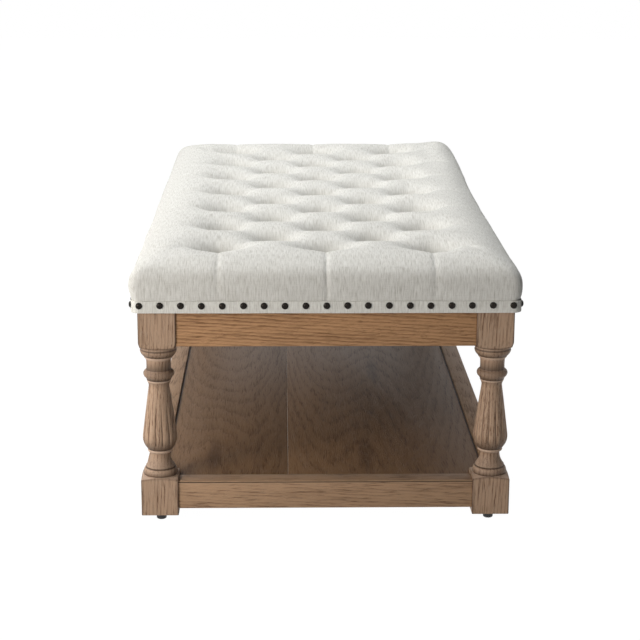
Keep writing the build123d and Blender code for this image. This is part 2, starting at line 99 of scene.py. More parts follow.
class Graph:
    """A shader node tree, with short calls for what the finishes repeat."""

    def __init__(self, tree: NodeTree) -> None:
        """Keep the tree that the calls add to."""
        self.tree = tree

    def node(self, kind: str, inputs: dict[str | int, object] | None = None, **settings: object) -> Node:
        """Add a node.

        Args:
            kind: The node's type, such as "ShaderNodeMath".
            inputs: What each input socket gets, a value or an output socket.
            **settings: Properties of the node itself.

        Returns:
            The new node.
        """
        made = self.tree.nodes.new(kind)
        for name, value in settings.items():
            setattr(made, name, value)
        self.feed(made, inputs or {})
        return made

    def feed(self, node: Node, inputs: dict[str | int, object]) -> None:
        """Set a node's inputs, each to a value or to an output socket."""
        for key, value in inputs.items():
            if isinstance(value, Socket):
                self.tree.links.new(value, node.inputs[key])
            else:
                node.inputs[key].default_value = value

    def math(self, operation: str, first: object, second: object = 0.0, third: object = 0.0) -> Socket:
        """Return the output of a Math node on values or sockets."""
        inputs = {0: first, 1: second, 2: third}
        return self.node("ShaderNodeMath", inputs, operation=operation).outputs[0]

    def scaled(self, vector: Socket, factors: Triple) -> Socket:
        """Return a vector multiplied, part by part, by three factors."""
        inputs = {0: vector, 1: factors}
        return self.node("ShaderNodeVectorMath", inputs, operation="MULTIPLY").outputs[0]

    def noise(self, vector: Socket, scale: Triple | None, detail: float = 2.0, rough: float = 0.5) -> Socket:
        """Return the strength of a noise at a vector, scaled along each axis where a scale is given."""
        place = self.scaled(vector, scale) if scale else vector
        inputs = {"Vector": place, "Scale": 1.0, "Detail": detail, "Roughness": rough}
        return self.node("ShaderNodeTexNoise", inputs).outputs["Fac"]

    def step(self, value: Socket, low: float, high: float) -> Socket:
        """Return 0 below low, 1 above high and a smooth rise between them."""
        inputs = {"Value": value, "From Min": low, "From Max": high}
        return self.node("ShaderNodeMapRange", inputs, interpolation_type="SMOOTHSTEP").outputs[0]

    def mix(self, share: object, first: object, second: object) -> Socket:
        """Return a mix of two colours."""
        inputs = {0: share, 6: first, 7: second}
        return self.node("ShaderNodeMix", inputs, data_type="RGBA").outputs[2]

    def group(self, tree: NodeTree, inputs: dict[str | int, object]) -> Node:
        """Add a node group with what its inputs get."""
        return self.node("ShaderNodeGroup", inputs, node_tree=tree)


def new_group(name: str, inputs: dict[str, object], outputs: Iterable[str]) -> tuple[Graph, Node, Node]:
    """Start a shader node group.

    Args:
        name: The group's name.
        inputs: Each input's name, with its value: a number, or three numbers for a vector.
        outputs: Names of the outputs, all plain values.

    Returns:
        The group's graph, its input node and its output node.
    """
    tree = bpy.data.node_groups.new(name, "ShaderNodeTree")
    for label, value in inputs.items():
        kind = "NodeSocketFloat" if isinstance(value, float) else "NodeSocketVector"
        tree.interface.new_socket(name=label, in_out="INPUT", socket_type=kind).default_value = value
    for label in outputs:
        tree.interface.new_socket(name=label, in_out="OUTPUT", socket_type="NodeSocketFloat")
    return Graph(tree), tree.nodes.new("NodeGroupInput"), tree.nodes.new("NodeGroupOutput")


@cache
def grain_group() -> NodeTree:
    """Build wood grain that runs along X: growth rings, fibres and pores.

    Returns:
        A group with the outputs Tone, 0 for pale wood and 1 for dark, Pores and Height.
    """
    inputs = {"Vector": (0.0, 0.0, 0.0), "Ring Width": 0.010, "Waver": 0.02, "Knots": 0.0, "Figure": 0.3}
    graph, given, out = new_group("timber_grain", inputs, ("Tone", "Pores", "Height"))
    given = given.outputs
    parts = graph.node("ShaderNodeSeparateXYZ", {0: given["Vector"]}).outputs
    broad = graph.math("SUBTRACT", graph.noise(given["Vector"], (3.0, 11.0, 11.0), 3.0), 0.5)
    local = graph.math("SUBTRACT", graph.noise(given["Vector"], (14.0, 45.0, 45.0), 2.0), 0.5)
    sway = graph.math("MULTIPLY_ADD", local, 0.22, broad)
    across = graph.math("MULTIPLY_ADD", sway, given["Waver"], parts[1])
    bent = graph.node("ShaderNodeCombineXYZ", {0: parts[0], 1: across, 2: parts[2]}).outputs[0]
    depth = graph.math("ADD", graph.math("MULTIPLY_ADD", parts[0], 0.06, parts[2]), 0.075)
    squares = graph.math("ADD", graph.math("MULTIPLY", across, across), graph.math("MULTIPLY", depth, depth))
    reach = graph.math("DIVIDE", graph.math("SQRT", squares), given["Ring Width"])
    ragged = graph.math("MULTIPLY", graph.noise(bent, (16.0, 190.0, 190.0), 3.0), 0.9)
    ring = graph.math("FRACT", graph.math("ADD", graph.math("ADD", reach, given["Knots"]), ragged))
    falling = graph.math("SUBTRACT", 1.0, graph.step(ring, 0.90, 1.0))
    late = graph.math("MULTIPLY", graph.step(ring, 0.25, 0.90), falling)
    fibres = graph.noise(bent, (16.0, 560.0, 560.0), 4.0, 0.62)
    dashes = graph.step(graph.noise(bent, (30.0, 470.0, 470.0), 3.0, 0.6), 0.48, 0.72)
    streaks = graph.noise(bent, (3.0, 60.0, 60.0), 3.0, 0.55)
    tone = graph.math("MULTIPLY_ADD", late, given["Figure"], graph.math("MULTIPLY", streaks, 0.42))
    tone = graph.math("MULTIPLY_ADD", graph.math("SUBTRACT", fibres, 0.5), 0.5, tone)
    tone = graph.math("MULTIPLY_ADD", dashes, 0.23, tone)
    pores = graph.step(graph.noise(bent, (60.0, 1500.0, 1500.0), 2.0, 0.5), 0.56, 0.68)
    height = graph.math("MULTIPLY_ADD", pores, -0.8, graph.math("MULTIPLY_ADD", late, -0.3, fibres))
    graph.feed(out, {"Tone": tone, "Pores": pores, "Height": height})
    return graph.tree


@cache
def knot_group() -> NodeTree:
    """Build a knot in grain that runs along X.

    Returns:
        A group with the outputs Phase, which bends the rings round the knot, and Core.
    """
    inputs = {"Vector": (0.0, 0.0, 0.0), "Centre": (0.0, 0.0, 0.0), "Size": 0.02}
    graph, given, out = new_group("knot", inputs, ("Phase", "Core"))
    ends = {0: given.outputs["Vector"], 1: given.outputs["Centre"]}
    offset = graph.node("ShaderNodeVectorMath", ends, operation="SUBTRACT")
    drawn = graph.scaled(offset.outputs[0], (0.14, 1.0, 0.0))
    reach = graph.node("ShaderNodeVectorMath", {0: drawn}, operation="LENGTH").outputs["Value"]
    share = graph.math("DIVIDE", reach, given.outputs["Size"])
    bell = graph.math("EXPONENT", graph.math("MULTIPLY", graph.math("MULTIPLY", share, share), -0.35))
    core = graph.math("SUBTRACT", 1.0, graph.step(share, 0.10, 0.55))
    graph.feed(out, {"Phase": graph.math("MULTIPLY", bell, 3.6), "Core": core})
    return graph.tree


@cache
def linen_group() -> NodeTree:
    """Build plain-woven linen, from a vector in metres of cut cloth.

    Returns:
        A group with the outputs Height, Slubs and Mottle.
    """
    inputs = {"Vector": (0.0, 0.0, 0.0), "Pitch": 0.0008}
    graph, given, out = new_group("linen_weave", inputs, ("Height", "Slubs", "Mottle"))
    place = given.outputs["Vector"]
    turn = graph.math("DIVIDE", math.pi, given.outputs["Pitch"])
    sway = graph.math("MULTIPLY", graph.noise(place, (90.0, 90.0, 0.0)), 0.0012)
    parts = graph.node("ShaderNodeSeparateXYZ", {0: place}).outputs
    warp = graph.math("SINE", graph.math("MULTIPLY", graph.math("ADD", parts[0], sway), turn))
    weft = graph.math("SINE", graph.math("MULTIPLY", graph.math("ADD", parts[1], sway), turn))
    weave = graph.math("MULTIPLY", warp, weft)
    long_slub = graph.noise(place, (760.0, 42.0, 0.0), 3.0, 0.6)
    cross_slub = graph.noise(place, (48.0, 800.0, 0.0), 3.0, 0.6)
    along = graph.step(long_slub, 0.42, 0.72)
    slubs = graph.math("MULTIPLY_ADD", graph.step(cross_slub, 0.48, 0.78), 0.4, along)
    mottle = graph.noise(place, (320.0, 52.0, 0.0), 4.0, 0.66)
    height = graph.math("MULTIPLY_ADD", slubs, 0.9, graph.math("MULTIPLY", weave, 0.5))
    graph.feed(out, {"Height": height, "Slubs": slubs, "Mottle": mottle})
    return graph.tree


@cache
def speckle_group() -> NodeTree:
    """Build fine dirt and wear for metal, foam and plastic.

    Returns:
        A group with the outputs Cloud, a soft mottle, and Grain, a fine one.
    """
    inputs = {"Vector": (0.0, 0.0, 0.0), "Cloud Size": 0.01, "Grain Size": 0.001}
    graph, given, out = new_group("speckle", inputs, ("Cloud", "Grain"))
    for label, size in (("Cloud", "Cloud Size"), ("Grain", "Grain Size")):
        shrink = graph.math("DIVIDE", 1.0, given.outputs[size])
        ends = {0: given.outputs["Vector"], 3: shrink}
        spread = graph.node("ShaderNodeVectorMath", ends, operation="SCALE")
        graph.feed(out, {label: graph.noise(spread.outputs[0], None, 3.0, 0.6)})
    return graph.tree


class Run(Enum):
    """Which way a piece's grain runs, as the turn that brings it to X."""

    ALONG_X = (0.0, 0.0, 0.0)
    ALONG_Y = (0.0, 0.0, math.pi / 2)
    ALONG_Z = (0.0, math.pi / 2, 0.0)


def new_material(name: str, roughness: float) -> tuple[Material, Graph, Node]:
    """Start a material.

    Args:
        name: The material's name.
        roughness: The surface's roughness.

    Returns:
        The material, its graph and its Principled shader.
    """
    material = bpy.data.materials.new(name)
    material.use_nodes = True
    graph = Graph(material.node_tree)
    shader = material.node_tree.nodes["Principled BSDF"]
    shader.inputs["Roughness"].default_value = roughness
    return material, graph, shader


def relief(graph: Graph, shader: Node, height: Socket, depth: float) -> None:
    """Bump a shader's surface by a height between 0 and 1, depth metres from top to bottom."""
    bump = graph.node("ShaderNodeBump", {"Height": height, "Distance": depth, "Strength": 1.0})
    graph.feed(shader, {"Normal": bump.outputs[0]})


@dataclass(frozen=True)
class WoodFinish:
    """A wood, its stain and how its grain lies."""

    name: str
    pale: Colour
    dark: Colour
    pore: Colour
    run: Run
    pore_share: float = 0.5
    ring_width: float = 0.010
    waver: float = 0.02
    offset: Triple = (0.0, 0.0, 0.0)
    figure: float = 0.3
    knots: tuple[Triple, ...] = ()
    knot_size: float = 0.035
    contrast: float = 0.30
    # Painted shadow lines: the axis, place and width of each dark line along a joint.
    shadow_lines: tuple[tuple[int, float, float], ...] = ()
    glazed_and_shaded: bool = False
    roughness: float = 0.55
    specular: float = 0.3
    middle_tone: float = 0.39
    knot_share: float = 0.55
    # How the painted shadow lines at the joints are drawn.
    joint_shadow_share: float = 0.9
    joint_shadow_factor: float = 0.12
    joint_shadow_core: float = 0.3
    # Colours of the glaze with painted shade, and of the rub with a painted highlight.
    glaze_and_shade_factor: float = 0.26
    rub_and_highlight_factor: float = 1.12
    rub_and_highlight_lift: float = 0.11
    depth: float = 0.00025

    def material(self) -> Material:
        """Build the material."""
        material, graph, shader = new_material(self.name, self.roughness)
        coordinates = graph.node("ShaderNodeTexCoord").outputs["Object"]
        mapping = {"Vector": coordinates, "Rotation": self.run.value, "Location": self.offset}
        place = graph.node("ShaderNodeMapping", mapping).outputs[0]
        phase: object = 0.0
        core: object = 0.0
        for centre in self.knots:
            knot = graph.group(knot_group(), {"Vector": place, "Centre": centre, "Size": self.knot_size})
            phase = graph.math("ADD", knot.outputs["Phase"], phase)
            core = graph.math("MAXIMUM", knot.outputs["Core"], core)
        given = {
            "Vector": place, "Ring Width": self.ring_width, "Waver": self.waver, "Knots": phase,
            "Figure": self.figure,
        }
        grain = graph.group(grain_group(), given).outputs
        share = graph.step(grain["Tone"], self.middle_tone - self.contrast, self.middle_tone + self.contrast)
        colour = graph.mix(share, shade(self.pale), shade(self.dark))
        pores = graph.math("MULTIPLY", grain["Pores"], self.pore_share)
        colour = graph.mix(pores, colour, shade(self.pore))
        if self.knots:
            colour = graph.mix(graph.math("MULTIPLY", core, self.knot_share), colour, shade(self.pore))
        # Glaze with painted shade in the grooves, and wear with a painted highlight on the edges, from the
        # mesh's layers.
        if self.glazed_and_shaded:
            colour = self.glaze_and_shade(graph, colour)
        # Painted shadow: a dark line along each given joint, where the gap between two parts lies in shade.
        for axis, position, wide in self.shadow_lines:
            parts = graph.node("ShaderNodeSeparateXYZ", {0: coordinates}).outputs
            aside = graph.math("ABSOLUTE", graph.math("SUBTRACT", parts[axis], position))
            near = graph.math("SUBTRACT", 1.0, graph.step(aside, self.joint_shadow_core * wide, wide))
            joint_shadow = shade(self.dark, self.joint_shadow_factor)
            colour = graph.mix(graph.math("MULTIPLY", near, self.joint_shadow_share), colour, joint_shadow)
        sheen = graph.math("MULTIPLY_ADD", grain["Tone"], 0.18, self.roughness - 0.08)
        surface = {"Base Color": colour, "Roughness": sheen, "Specular IOR Level": self.specular}
        graph.feed(shader, surface)
        relief(graph, shader, grain["Height"], self.depth)
        return material

    def glaze_and_shade(self, graph: Graph, colour: Socket) -> Socket:
        """Darken the grooves with glaze and painted shade, and pale the edges with wear and a painted
        highlight, where the mesh says so.

        Args:
            graph: The material's graph.
            colour: The wood's colour.

        Returns:
            The colour with its glaze, wear, painted shade and painted highlight.
        """
        glaze_and_shade = graph.node("ShaderNodeAttribute", attribute_name="glaze_and_shade").outputs["Fac"]
        rub_and_highlight = graph.node("ShaderNodeAttribute", attribute_name="rub_and_highlight").outputs["Fac"]
        darker = graph.mix(glaze_and_shade, colour, shade(self.dark, self.glaze_and_shade_factor))
        return graph.mix(rub_and_highlight, darker, shade(self.pale, self.rub_and_highlight_factor, self.rub_and_highlight_lift))


@dataclass(frozen=True)
class LinenFinish:
    """Slubbed linen on the piece's own cut-cloth UV map, with painted shade in the tuft hollows where asked.
    """

    name: str = "linen"
    pale: Colour = (0.85, 0.835, 0.79)
    dark: Colour = (0.45, 0.425, 0.37)
    shaded_hollows: bool = False
    roughness: float = 0.92
    pitch: float = 0.0008
    slub_share: float = 0.48
    mottle_share: float = 0.36
    # How far the painted shade darkens the tuft hollows.
    hollow_share: float = 0.8
    sheen: float = 0.12
    specular: float = 0.2
    depth: float = 0.00022

    def material(self) -> Material:
        """Build the material."""
        material, graph, shader = new_material(self.name, self.roughness)
        place = graph.node("ShaderNodeUVMap", uv_map=CUT_MAP).outputs[0]
        linen = graph.group(linen_group(), {"Vector": place, "Pitch": self.pitch}).outputs
        mottle = graph.math("MULTIPLY", graph.step(linen["Mottle"], 0.30, 0.75), self.mottle_share)
        share = graph.math("MULTIPLY_ADD", linen["Slubs"], self.slub_share, mottle)
        colour = graph.mix(share, shade(self.pale), shade(self.dark))
        # Painted shade: the linen darkens in the tuft hollows, more where the cover sinks deeper.
        if self.shaded_hollows:
            hollow = graph.node("ShaderNodeAttribute", attribute_name="hollow").outputs["Fac"]
            colour = graph.mix(graph.math("MULTIPLY", hollow, self.hollow_share), colour, shade(self.dark))
        surface = {
            "Base Color": colour, "Sheen Weight": self.sheen, "Sheen Roughness": 0.5,
            "Specular IOR Level": self.specular,
        }
        graph.feed(shader, surface)
        relief(graph, shader, linen["Height"], self.depth)
        return material


@dataclass(frozen=True)
class SpeckledFinish:
    """Metal, plastic, foam or cloth with a soft mottle and a fine grain."""

    name: str
    colour: Colour
    worn: Colour
    roughness: float
    metallic: float = 0.0
    cloud_size: float = 0.004
    grain_size: float = 0.0006
    worn_share: float = 0.6
    depth: float = 0.00008
    coat: float = 0.0

    def material(self) -> Material:
        """Build the material."""
        material, graph, shader = new_material(self.name, self.roughness)
        place = graph.node("ShaderNodeTexCoord").outputs["Object"]
        given = {"Vector": place, "Cloud Size": self.cloud_size, "Grain Size": self.grain_size}
        speckle = graph.group(speckle_group(), given).outputs
        share = graph.math("MULTIPLY", graph.step(speckle["Cloud"], 0.45, 0.75), self.worn_share)
        colour = graph.mix(share, shade(self.colour), shade(self.worn))
        rough = graph.math("MULTIPLY_ADD", speckle["Cloud"], 0.25, self.roughness - 0.12)
        surface = {
            "Base Color": colour, "Roughness": rough, "Metallic": self.metallic, "Coat Weight": self.coat,
            "Coat Roughness": 0.12,
        }
        graph.feed(shader, surface)
        relief(graph, shader, speckle["Grain"], self.depth)
        return material


LEG_WOOD = WoodFinish(
    "leg_wood", pale=(0.48, 0.318, 0.212), dark=(0.192, 0.105, 0.060), pore=(0.60, 0.46, 0.34),
    run=Run.ALONG_Z, pore_share=0.45, ring_width=0.006, waver=0.012, figure=0.16, contrast=0.145, glazed_and_shaded=True,
)
APRON_WOOD = WoodFinish(
    "apron_wood", pale=(0.51, 0.280, 0.135), dark=(0.210, 0.101, 0.043), pore=(0.12, 0.055, 0.025),
    run=Run.ALONG_X, pore_share=0.30, ring_width=0.006, waver=0.034, figure=0.20, contrast=0.23,
)
RAIL_WOOD = WoodFinish(
    "rail_wood", pale=(0.46, 0.285, 0.168), dark=(0.180, 0.098, 0.052), pore=(0.52, 0.38, 0.26),
    run=Run.ALONG_X, pore_share=0.30, ring_width=0.006, waver=0.025, figure=0.12, contrast=0.17,
)


def wood_for(node: str, finish: WoodFinish, run: Run) -> WoodFinish:
    """Return a finish for one node, with its own cut from the tree.

    Args:
        node: The node's name, which seeds the cut.
        finish: The finish to start from.
        run: Which way this node's grain runs.

    Returns:
        The finish under the node's name.
    """
    cut = random.Random(node)
    low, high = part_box(node)
    turn = Euler(run.value).to_matrix()
    middle = turn @ ((low + high) / 2)
    along = cut.uniform(0.0, LOG_LENGTH)
    aside = cut.uniform(-PITH_STRAY, PITH_STRAY) - middle.y
    above = cut.uniform(-PITH_STRAY, PITH_STRAY) - middle.z
    offset = Vector((along, aside, above))
    knots = tuple(tuple(turn @ Vector(knot) + offset) for knot in finish.knots)
    return replace(finish, name=f"{finish.name}_{node}", run=run, offset=tuple(offset), knots=knots)


def new_object(name: str, bm: Mesh) -> bpy.types.Object:
    """Turn a mesh into an object of the scene, and free the mesh."""
    mesh = bpy.data.meshes.new(name)
    bm.to_mesh(mesh)
    bm.free()
    made = bpy.data.objects.new(name, mesh)
    bpy.context.scene.collection.objects.link(made)
    return made


def place_piece(bm: Mesh, name: str, material: Material, slot: str, *nodes: str) -> bpy.types.Object:
    """Make a finished mesh a piece of the table.

    Args:
        bm: The piece's mesh, in place. It is freed.
        name: The piece's name.
        material: Its material.
        slot: A material slot of the record; not used.
        *nodes: The nodes that it stands for.

    Returns:
        The piece.
    """
    piece = new_object(name, bm)
    piece.data.materials.append(material)
    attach(piece, BODY)
    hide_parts(*nodes)
    LOG.info("%s: %d faces", name, len(piece.data.polygons))
    return piece


def shade_smooth(bm: Mesh, sharp: float = SMOOTH_ANGLE) -> None:
    """Shade every face smooth, but keep edges that turn more than sharp."""
    for face in bm.faces:
        face.smooth = True
    for edge in bm.edges:
        edge.smooth = edge.calc_face_angle(0.0) < sharp


def mesh_of(node: str, flat_angle: float = 0.0) -> Mesh:
    """Copy a node's mesh, with its double points merged.

    Args:
        node: The node's name.
        flat_angle: Faces that meet at less than this angle are joined, none at 0.

    Returns:
        The copy.
    """
    bm = bmesh.new()
    bm.from_mesh(bpy.data.objects[node].data)
    bmesh.ops.remove_doubles(bm, verts=bm.verts, dist=MERGE_DISTANCE)
    if flat_angle:
        bmesh.ops.dissolve_limit(bm, angle_limit=flat_angle, verts=bm.verts, edges=bm.edges)
    return bm


def ridges(bm: Mesh, angle: float = RIDGE_ANGLE) -> list[Edge]:
    """Return the edges that turn more than an angle."""
    return [edge for edge in bm.edges if edge.calc_face_angle(0.0) > angle]


def lower_edges(bm: Mesh) -> list[Edge]:
    """Return the edges that lie below the origin."""
    return [edge for edge in bm.edges if all(vert.co.z < 0 for vert in edge.verts)]


def round_over(bm: Mesh, edges: list[Edge], offset: float, segments: int = 3) -> None:
    """Round some edges over, as far as an offset on either side."""
    bmesh.ops.bevel(
        bm, geom=edges, offset=offset, offset_type="OFFSET", segments=segments, profile=0.5,
        affect="EDGES", clamp_overlap=True, material=-1,
    )


def islands(node: str) -> list[list[Vector]]:
    """Return the points of each separate solid of a node."""
    bm = mesh_of(node)
    found = []
    left = set(bm.verts)
    while left:
        front = [left.pop()]
        group = []
        while front:
            vert = front.pop()
            group.append(vert.co.copy())
            for edge in vert.link_edges:
                other = edge.other_vert(vert)
                if other in left:
                    left.remove(other)
                    front.append(other)
        found.append(group)
    bm.free()
    return found


def join(bm: Mesh, part: Mesh) -> None:
    """Add a part's mesh to a mesh, and free the part."""
    mesh = bpy.data.meshes.new("part")
    part.to_mesh(mesh)
    part.free()
    bm.from_mesh(mesh)
    bpy.data.meshes.remove(mesh)


def box_of(points: list[Vector]) -> tuple[Vector, Vector]:
    """Return the lowest and the highest corner of the box round some points."""
    return Vector(map(min, zip(*points))), Vector(map(max, zip(*points)))


def middle_of(points: list[Vector]) -> Vector:
    """Return the middle of the box round some points."""
    low, high = box_of(points)
    return (low + high) / 2


@dataclass(frozen=True)
class Stretch:
    """One stretch of the turning, from the end of the last one.

    The radius is a share of the leg's half width, the height a share of the length between the
    blocks, and the swell is how far the stretch bows out of its chord, as a share of the half
    width. Glaze and rub say how dark or how worn its upper end is: dark glaze with painted shade in
    the grooves, and pale wear with a painted highlight on the ridges.
    """

    radius: float
    height: float
    swell: float = 0.0
    glaze_and_shade: float = 0.0
    rub_and_highlight: float = 0.0


# Each stretch's glaze is dark glaze with painted shade in the grooves; its rub is pale wear with a painted
# highlight on the ridges.
TURNING = (
    Stretch(0.905, 0.0150, glaze_and_shade=0.9),
    Stretch(0.856, 0.0617, swell=0.035, rub_and_highlight=0.2),
    Stretch(0.769, 0.0695, glaze_and_shade=1.0),
    Stretch(0.784, 0.0815, swell=0.012, glaze_and_shade=0.3, rub_and_highlight=0.3),
    Stretch(0.525, 0.1732, swell=-0.065, glaze_and_shade=0.1),
    Stretch(0.644, 0.1902, swell=-0.020, glaze_and_shade=0.1, rub_and_highlight=0.6),
    Stretch(0.666, 0.2060, swell=0.015, rub_and_highlight=0.9),
    Stretch(0.650, 0.2090, glaze_and_shade=0.9),
    Stretch(0.928, 0.3140, swell=0.095),
    Stretch(0.550, 0.6894, swell=0.006),
    Stretch(0.609, 0.7204, swell=-0.014, glaze_and_shade=0.3),
    Stretch(0.650, 0.7330, swell=0.005, rub_and_highlight=1.0),
    Stretch(0.640, 0.7370, glaze_and_shade=0.9),
    Stretch(0.790, 0.7660, swell=-0.012, glaze_and_shade=0.4),
    Stretch(0.688, 0.8115, swell=0.085, glaze_and_shade=0.4, rub_and_highlight=0.1),
    Stretch(0.662, 0.8160, glaze_and_shade=0.8),
    Stretch(0.664, 0.8850, swell=-0.010, glaze_and_shade=0.1),
    Stretch(0.767, 0.9060, swell=-0.016, rub_and_highlight=1.0),
    Stretch(0.775, 0.9130, swell=0.005, rub_and_highlight=0.6),
    Stretch(0.790, 0.9160, glaze_and_shade=0.9),
    Stretch(0.985, 0.9590, swell=0.035, glaze_and_shade=0.1),
    Stretch(0.955, 0.9680, glaze_and_shade=0.9),
    Stretch(0.970, 0.9850, rub_and_highlight=0.3),
)


@dataclass
class Legs:
    """Four legs, each turned and reeded between two square blocks."""

    corners: tuple[str, ...] = ("front_left", "front_right", "back_left", "back_right")
    block_height: float = 0.064
    pommel_rise: float = 0.004
    reeds: int = 14
    steps_per_reed: int = 12
    reed_depth: float = 0.0021
    reed_foot_shares: Span = (0.211, 0.245)
    reed_head_shares: Span = (0.42, 0.62)
    block_cuts: int = 19
    shoulder_inset: float = 0.0024
    edge_round: float = 0.0014
    arc_steps: int = 7
    petal_edge: Span = (-0.004, 0.012)
    groove_roundness: float = 0.985
    groove_dark: Span = (0.35, 0.9)
    # How dark the grooves between the reeds are made: glaze with painted shade.
    groove_glaze_and_shade: float = 0.8
    shoulder_start: float = 0.80
    worn_side_start: float = 0.88
    worn_end_start: float = 0.95
    worn_amount: float = 0.85
    end_glaze: float = 0.5

    def build(self) -> None:
        """Build the four legs."""
        for corner in self.corners:
            node = f"leg_{corner}"
            low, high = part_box(node)
            bm = bmesh.new()
            glaze_and_shade = bm.verts.layers.float.new("glaze_and_shade")
            rub_and_highlight = bm.verts.layers.float.new("rub_and_highlight")
            self.turn(bm, low, high, glaze_and_shade, rub_and_highlight)
            for inward in (1, -1):
                join(bm, self.block(low, high, inward))
            shade_smooth(bm)
            finish = wood_for(node, LEG_WOOD, Run.ALONG_Z)
            place_piece(bm, f"turned_{node}", finish.material(), "leg_wood", node)

    def outline(self, half: float, length: float) -> list[tuple[float, float, float, float]]:
        """Work out the turning's outline.

        Args:
            half: Half the leg's width.
            length: The length between the blocks.

        Returns:
            Each point's radius, height above the lower block, glaze with painted shade, and rub with a
            painted highlight.
        """
        points = [(TURNING[0].radius * half, TURNING[0].height * length, TURNING[0].glaze_and_shade, 0.0)]
        for last, stretch in zip(TURNING, TURNING[1:]):
            start = Vector((last.radius * half, last.height * length))
            chord = Vector((stretch.radius * half, stretch.height * length)) - start
            bow = Vector((chord.y, -chord.x)).normalized() * stretch.swell * half
            steps = self.arc_steps if stretch.swell else 1
            for step in range(1, steps + 1):
                share = step / steps
                place = start + chord * share + bow * 4 * share * (1 - share)
                dark = last.glaze_and_shade + (stretch.glaze_and_shade - last.glaze_and_shade) * share
                worn = last.rub_and_highlight + (stretch.rub_and_highlight - last.rub_and_highlight) * share
                points.append((place.x, place.y, dark, worn))
        return points

    def turn(self, bm: Mesh, low: Vector, high: Vector, glaze_and_shade: object, rub_and_highlight: object) -> None:
        """Spin the turning's outline and cut its reeds.

        Args:
            bm: The leg's mesh.
            low: The leg's lowest corner.
            high: The leg's highest corner.
            glaze_and_shade: The layer that darkens grooves, with glaze and painted shade.
            rub_and_highlight: The layer that pales edges, with wear and a painted highlight.
        """
        half = (high.x - low.x) / 2
        length = high.z - low.z - 2 * self.block_height
        foot = Vector((low.x + half, low.y + half, low.z + self.block_height))
        outline = self.outline(half, length)
        rows = [(0.0, outline[0][1], 0.0, 0.0), *outline, (0.0, outline[-1][1], 0.0, 0.0)]
        verts = []
        for radius, height, dark, worn in rows:
            vert = bm.verts.new(foot + Vector((radius, 0.0, height)))
            vert[glaze_and_shade] = dark
            vert[rub_and_highlight] = worn
            verts.append(vert)
        edges = [bm.edges.new(pair) for pair in zip(verts, verts[1:])]
        bmesh.ops.spin(
            bm, geom=[*verts, *edges], cent=foot, axis=(0.0, 0.0, 1.0), dvec=(0.0, 0.0, 0.0),
            angle=math.tau, steps=self.reeds * self.steps_per_reed, use_merge=True, use_duplicate=False,
        )
        bmesh.ops.remove_doubles(bm, verts=bm.verts, dist=MERGE_DISTANCE)
        for vert in bm.verts:
            self.reed(vert, foot, length, glaze_and_shade)
        bmesh.ops.recalc_face_normals(bm, faces=bm.faces)

    def reed(self, vert: Vert, foot: Vector, length: float, glaze_and_shade: object) -> None:
        """Move one point of the vase in towards the groove between two reeds.

        Args:
            vert: The point.
            foot: The foot of the turning.
            length: The turning's length.
            glaze_and_shade: The layer that darkens grooves, with glaze and painted shade.
        """
        offset = vert.co - foot
        height = offset.z / length
        turn = math.atan2(offset.y, offset.x) / math.tau * self.reeds
        across = 2 * abs(turn - math.floor(turn) - 0.5)
        foot_low, foot_high = self.reed_foot_shares
        petal = foot_low + (foot_high - foot_low) * across**2
        rise = smooth_step(petal + self.petal_edge[0], petal + self.petal_edge[1], height)
        strength = rise * (1 - smooth_step(*self.reed_head_shares, height))
        if strength <= 0 or offset.xy.length == 0:
            return
        groove = 1 - math.sqrt(max(0.0, 1 - (self.groove_roundness * across) ** 2))
        depth = self.reed_depth * strength * groove
        vert.co.xy = foot.xy + offset.xy * (1 - depth / offset.xy.length)
        # Glaze with painted shade: the groove between two reeds is darkened, more where it is deeper.
        dark = self.groove_glaze_and_shade * strength * smooth_step(*self.groove_dark, groove)
        vert[glaze_and_shade] = max(vert[glaze_and_shade], dark)

    def block(self, low: Vector, high: Vector, inward: int) -> Mesh:
        """Build a square block whose inner end is turned to a low cone.

        Args:
            low: The leg's lowest corner.
            high: The leg's highest corner.
            inward: 1 for the lower block, -1 for the upper one.

        Returns:
            The block.
        """
        half = (high.x - low.x) / 2
        corner = half * math.sqrt(2)
        neck = half * TURNING[0].radius
        centre = Vector((low.x + half, low.y + half, low.z if inward > 0 else high.z))
        bm = bmesh.new()
        glaze_and_shade = bm.verts.layers.float.new("glaze_and_shade")
        rub_and_highlight = bm.verts.layers.float.new("rub_and_highlight")
        bmesh.ops.create_cube(bm, size=2.0)
        bmesh.ops.subdivide_edges(bm, edges=bm.edges, cuts=self.block_cuts, use_grid_fill=True)
        for vert in bm.verts:
            x, y, share = vert.co.x, vert.co.y, (vert.co.z + 1) / 2
            side = max(abs(x), abs(y)) > NEARLY_ALL
            slope = max(0.0, math.hypot(x, y) * half - neck) / (corner - neck)
            top = self.block_height + self.pommel_rise * (1 - slope)
            shoulder = self.shoulder_inset * smooth_step(self.shoulder_start, 1.0, share) ** 2
            drawn = half - (shoulder if inward < 0 else 0.0)
            vert.co = centre + Vector((x * drawn, y * drawn, inward * share * top))
            near_edge = smooth_step(self.worn_side_start, 1.0, min(abs(x), abs(y)))
            near_end = smooth_step(self.worn_end_start, 1.0, share)
            vert[glaze_and_shade] = max(self.worn_amount * near_edge, self.end_glaze * near_end) if side else 0.0
            vert[rub_and_highlight] = 0.0 if side else self.worn_amount * near_end
        bmesh.ops.recalc_face_normals(bm, faces=bm.faces)
        round_over(bm, ridges(bm), self.edge_round)
        return bm


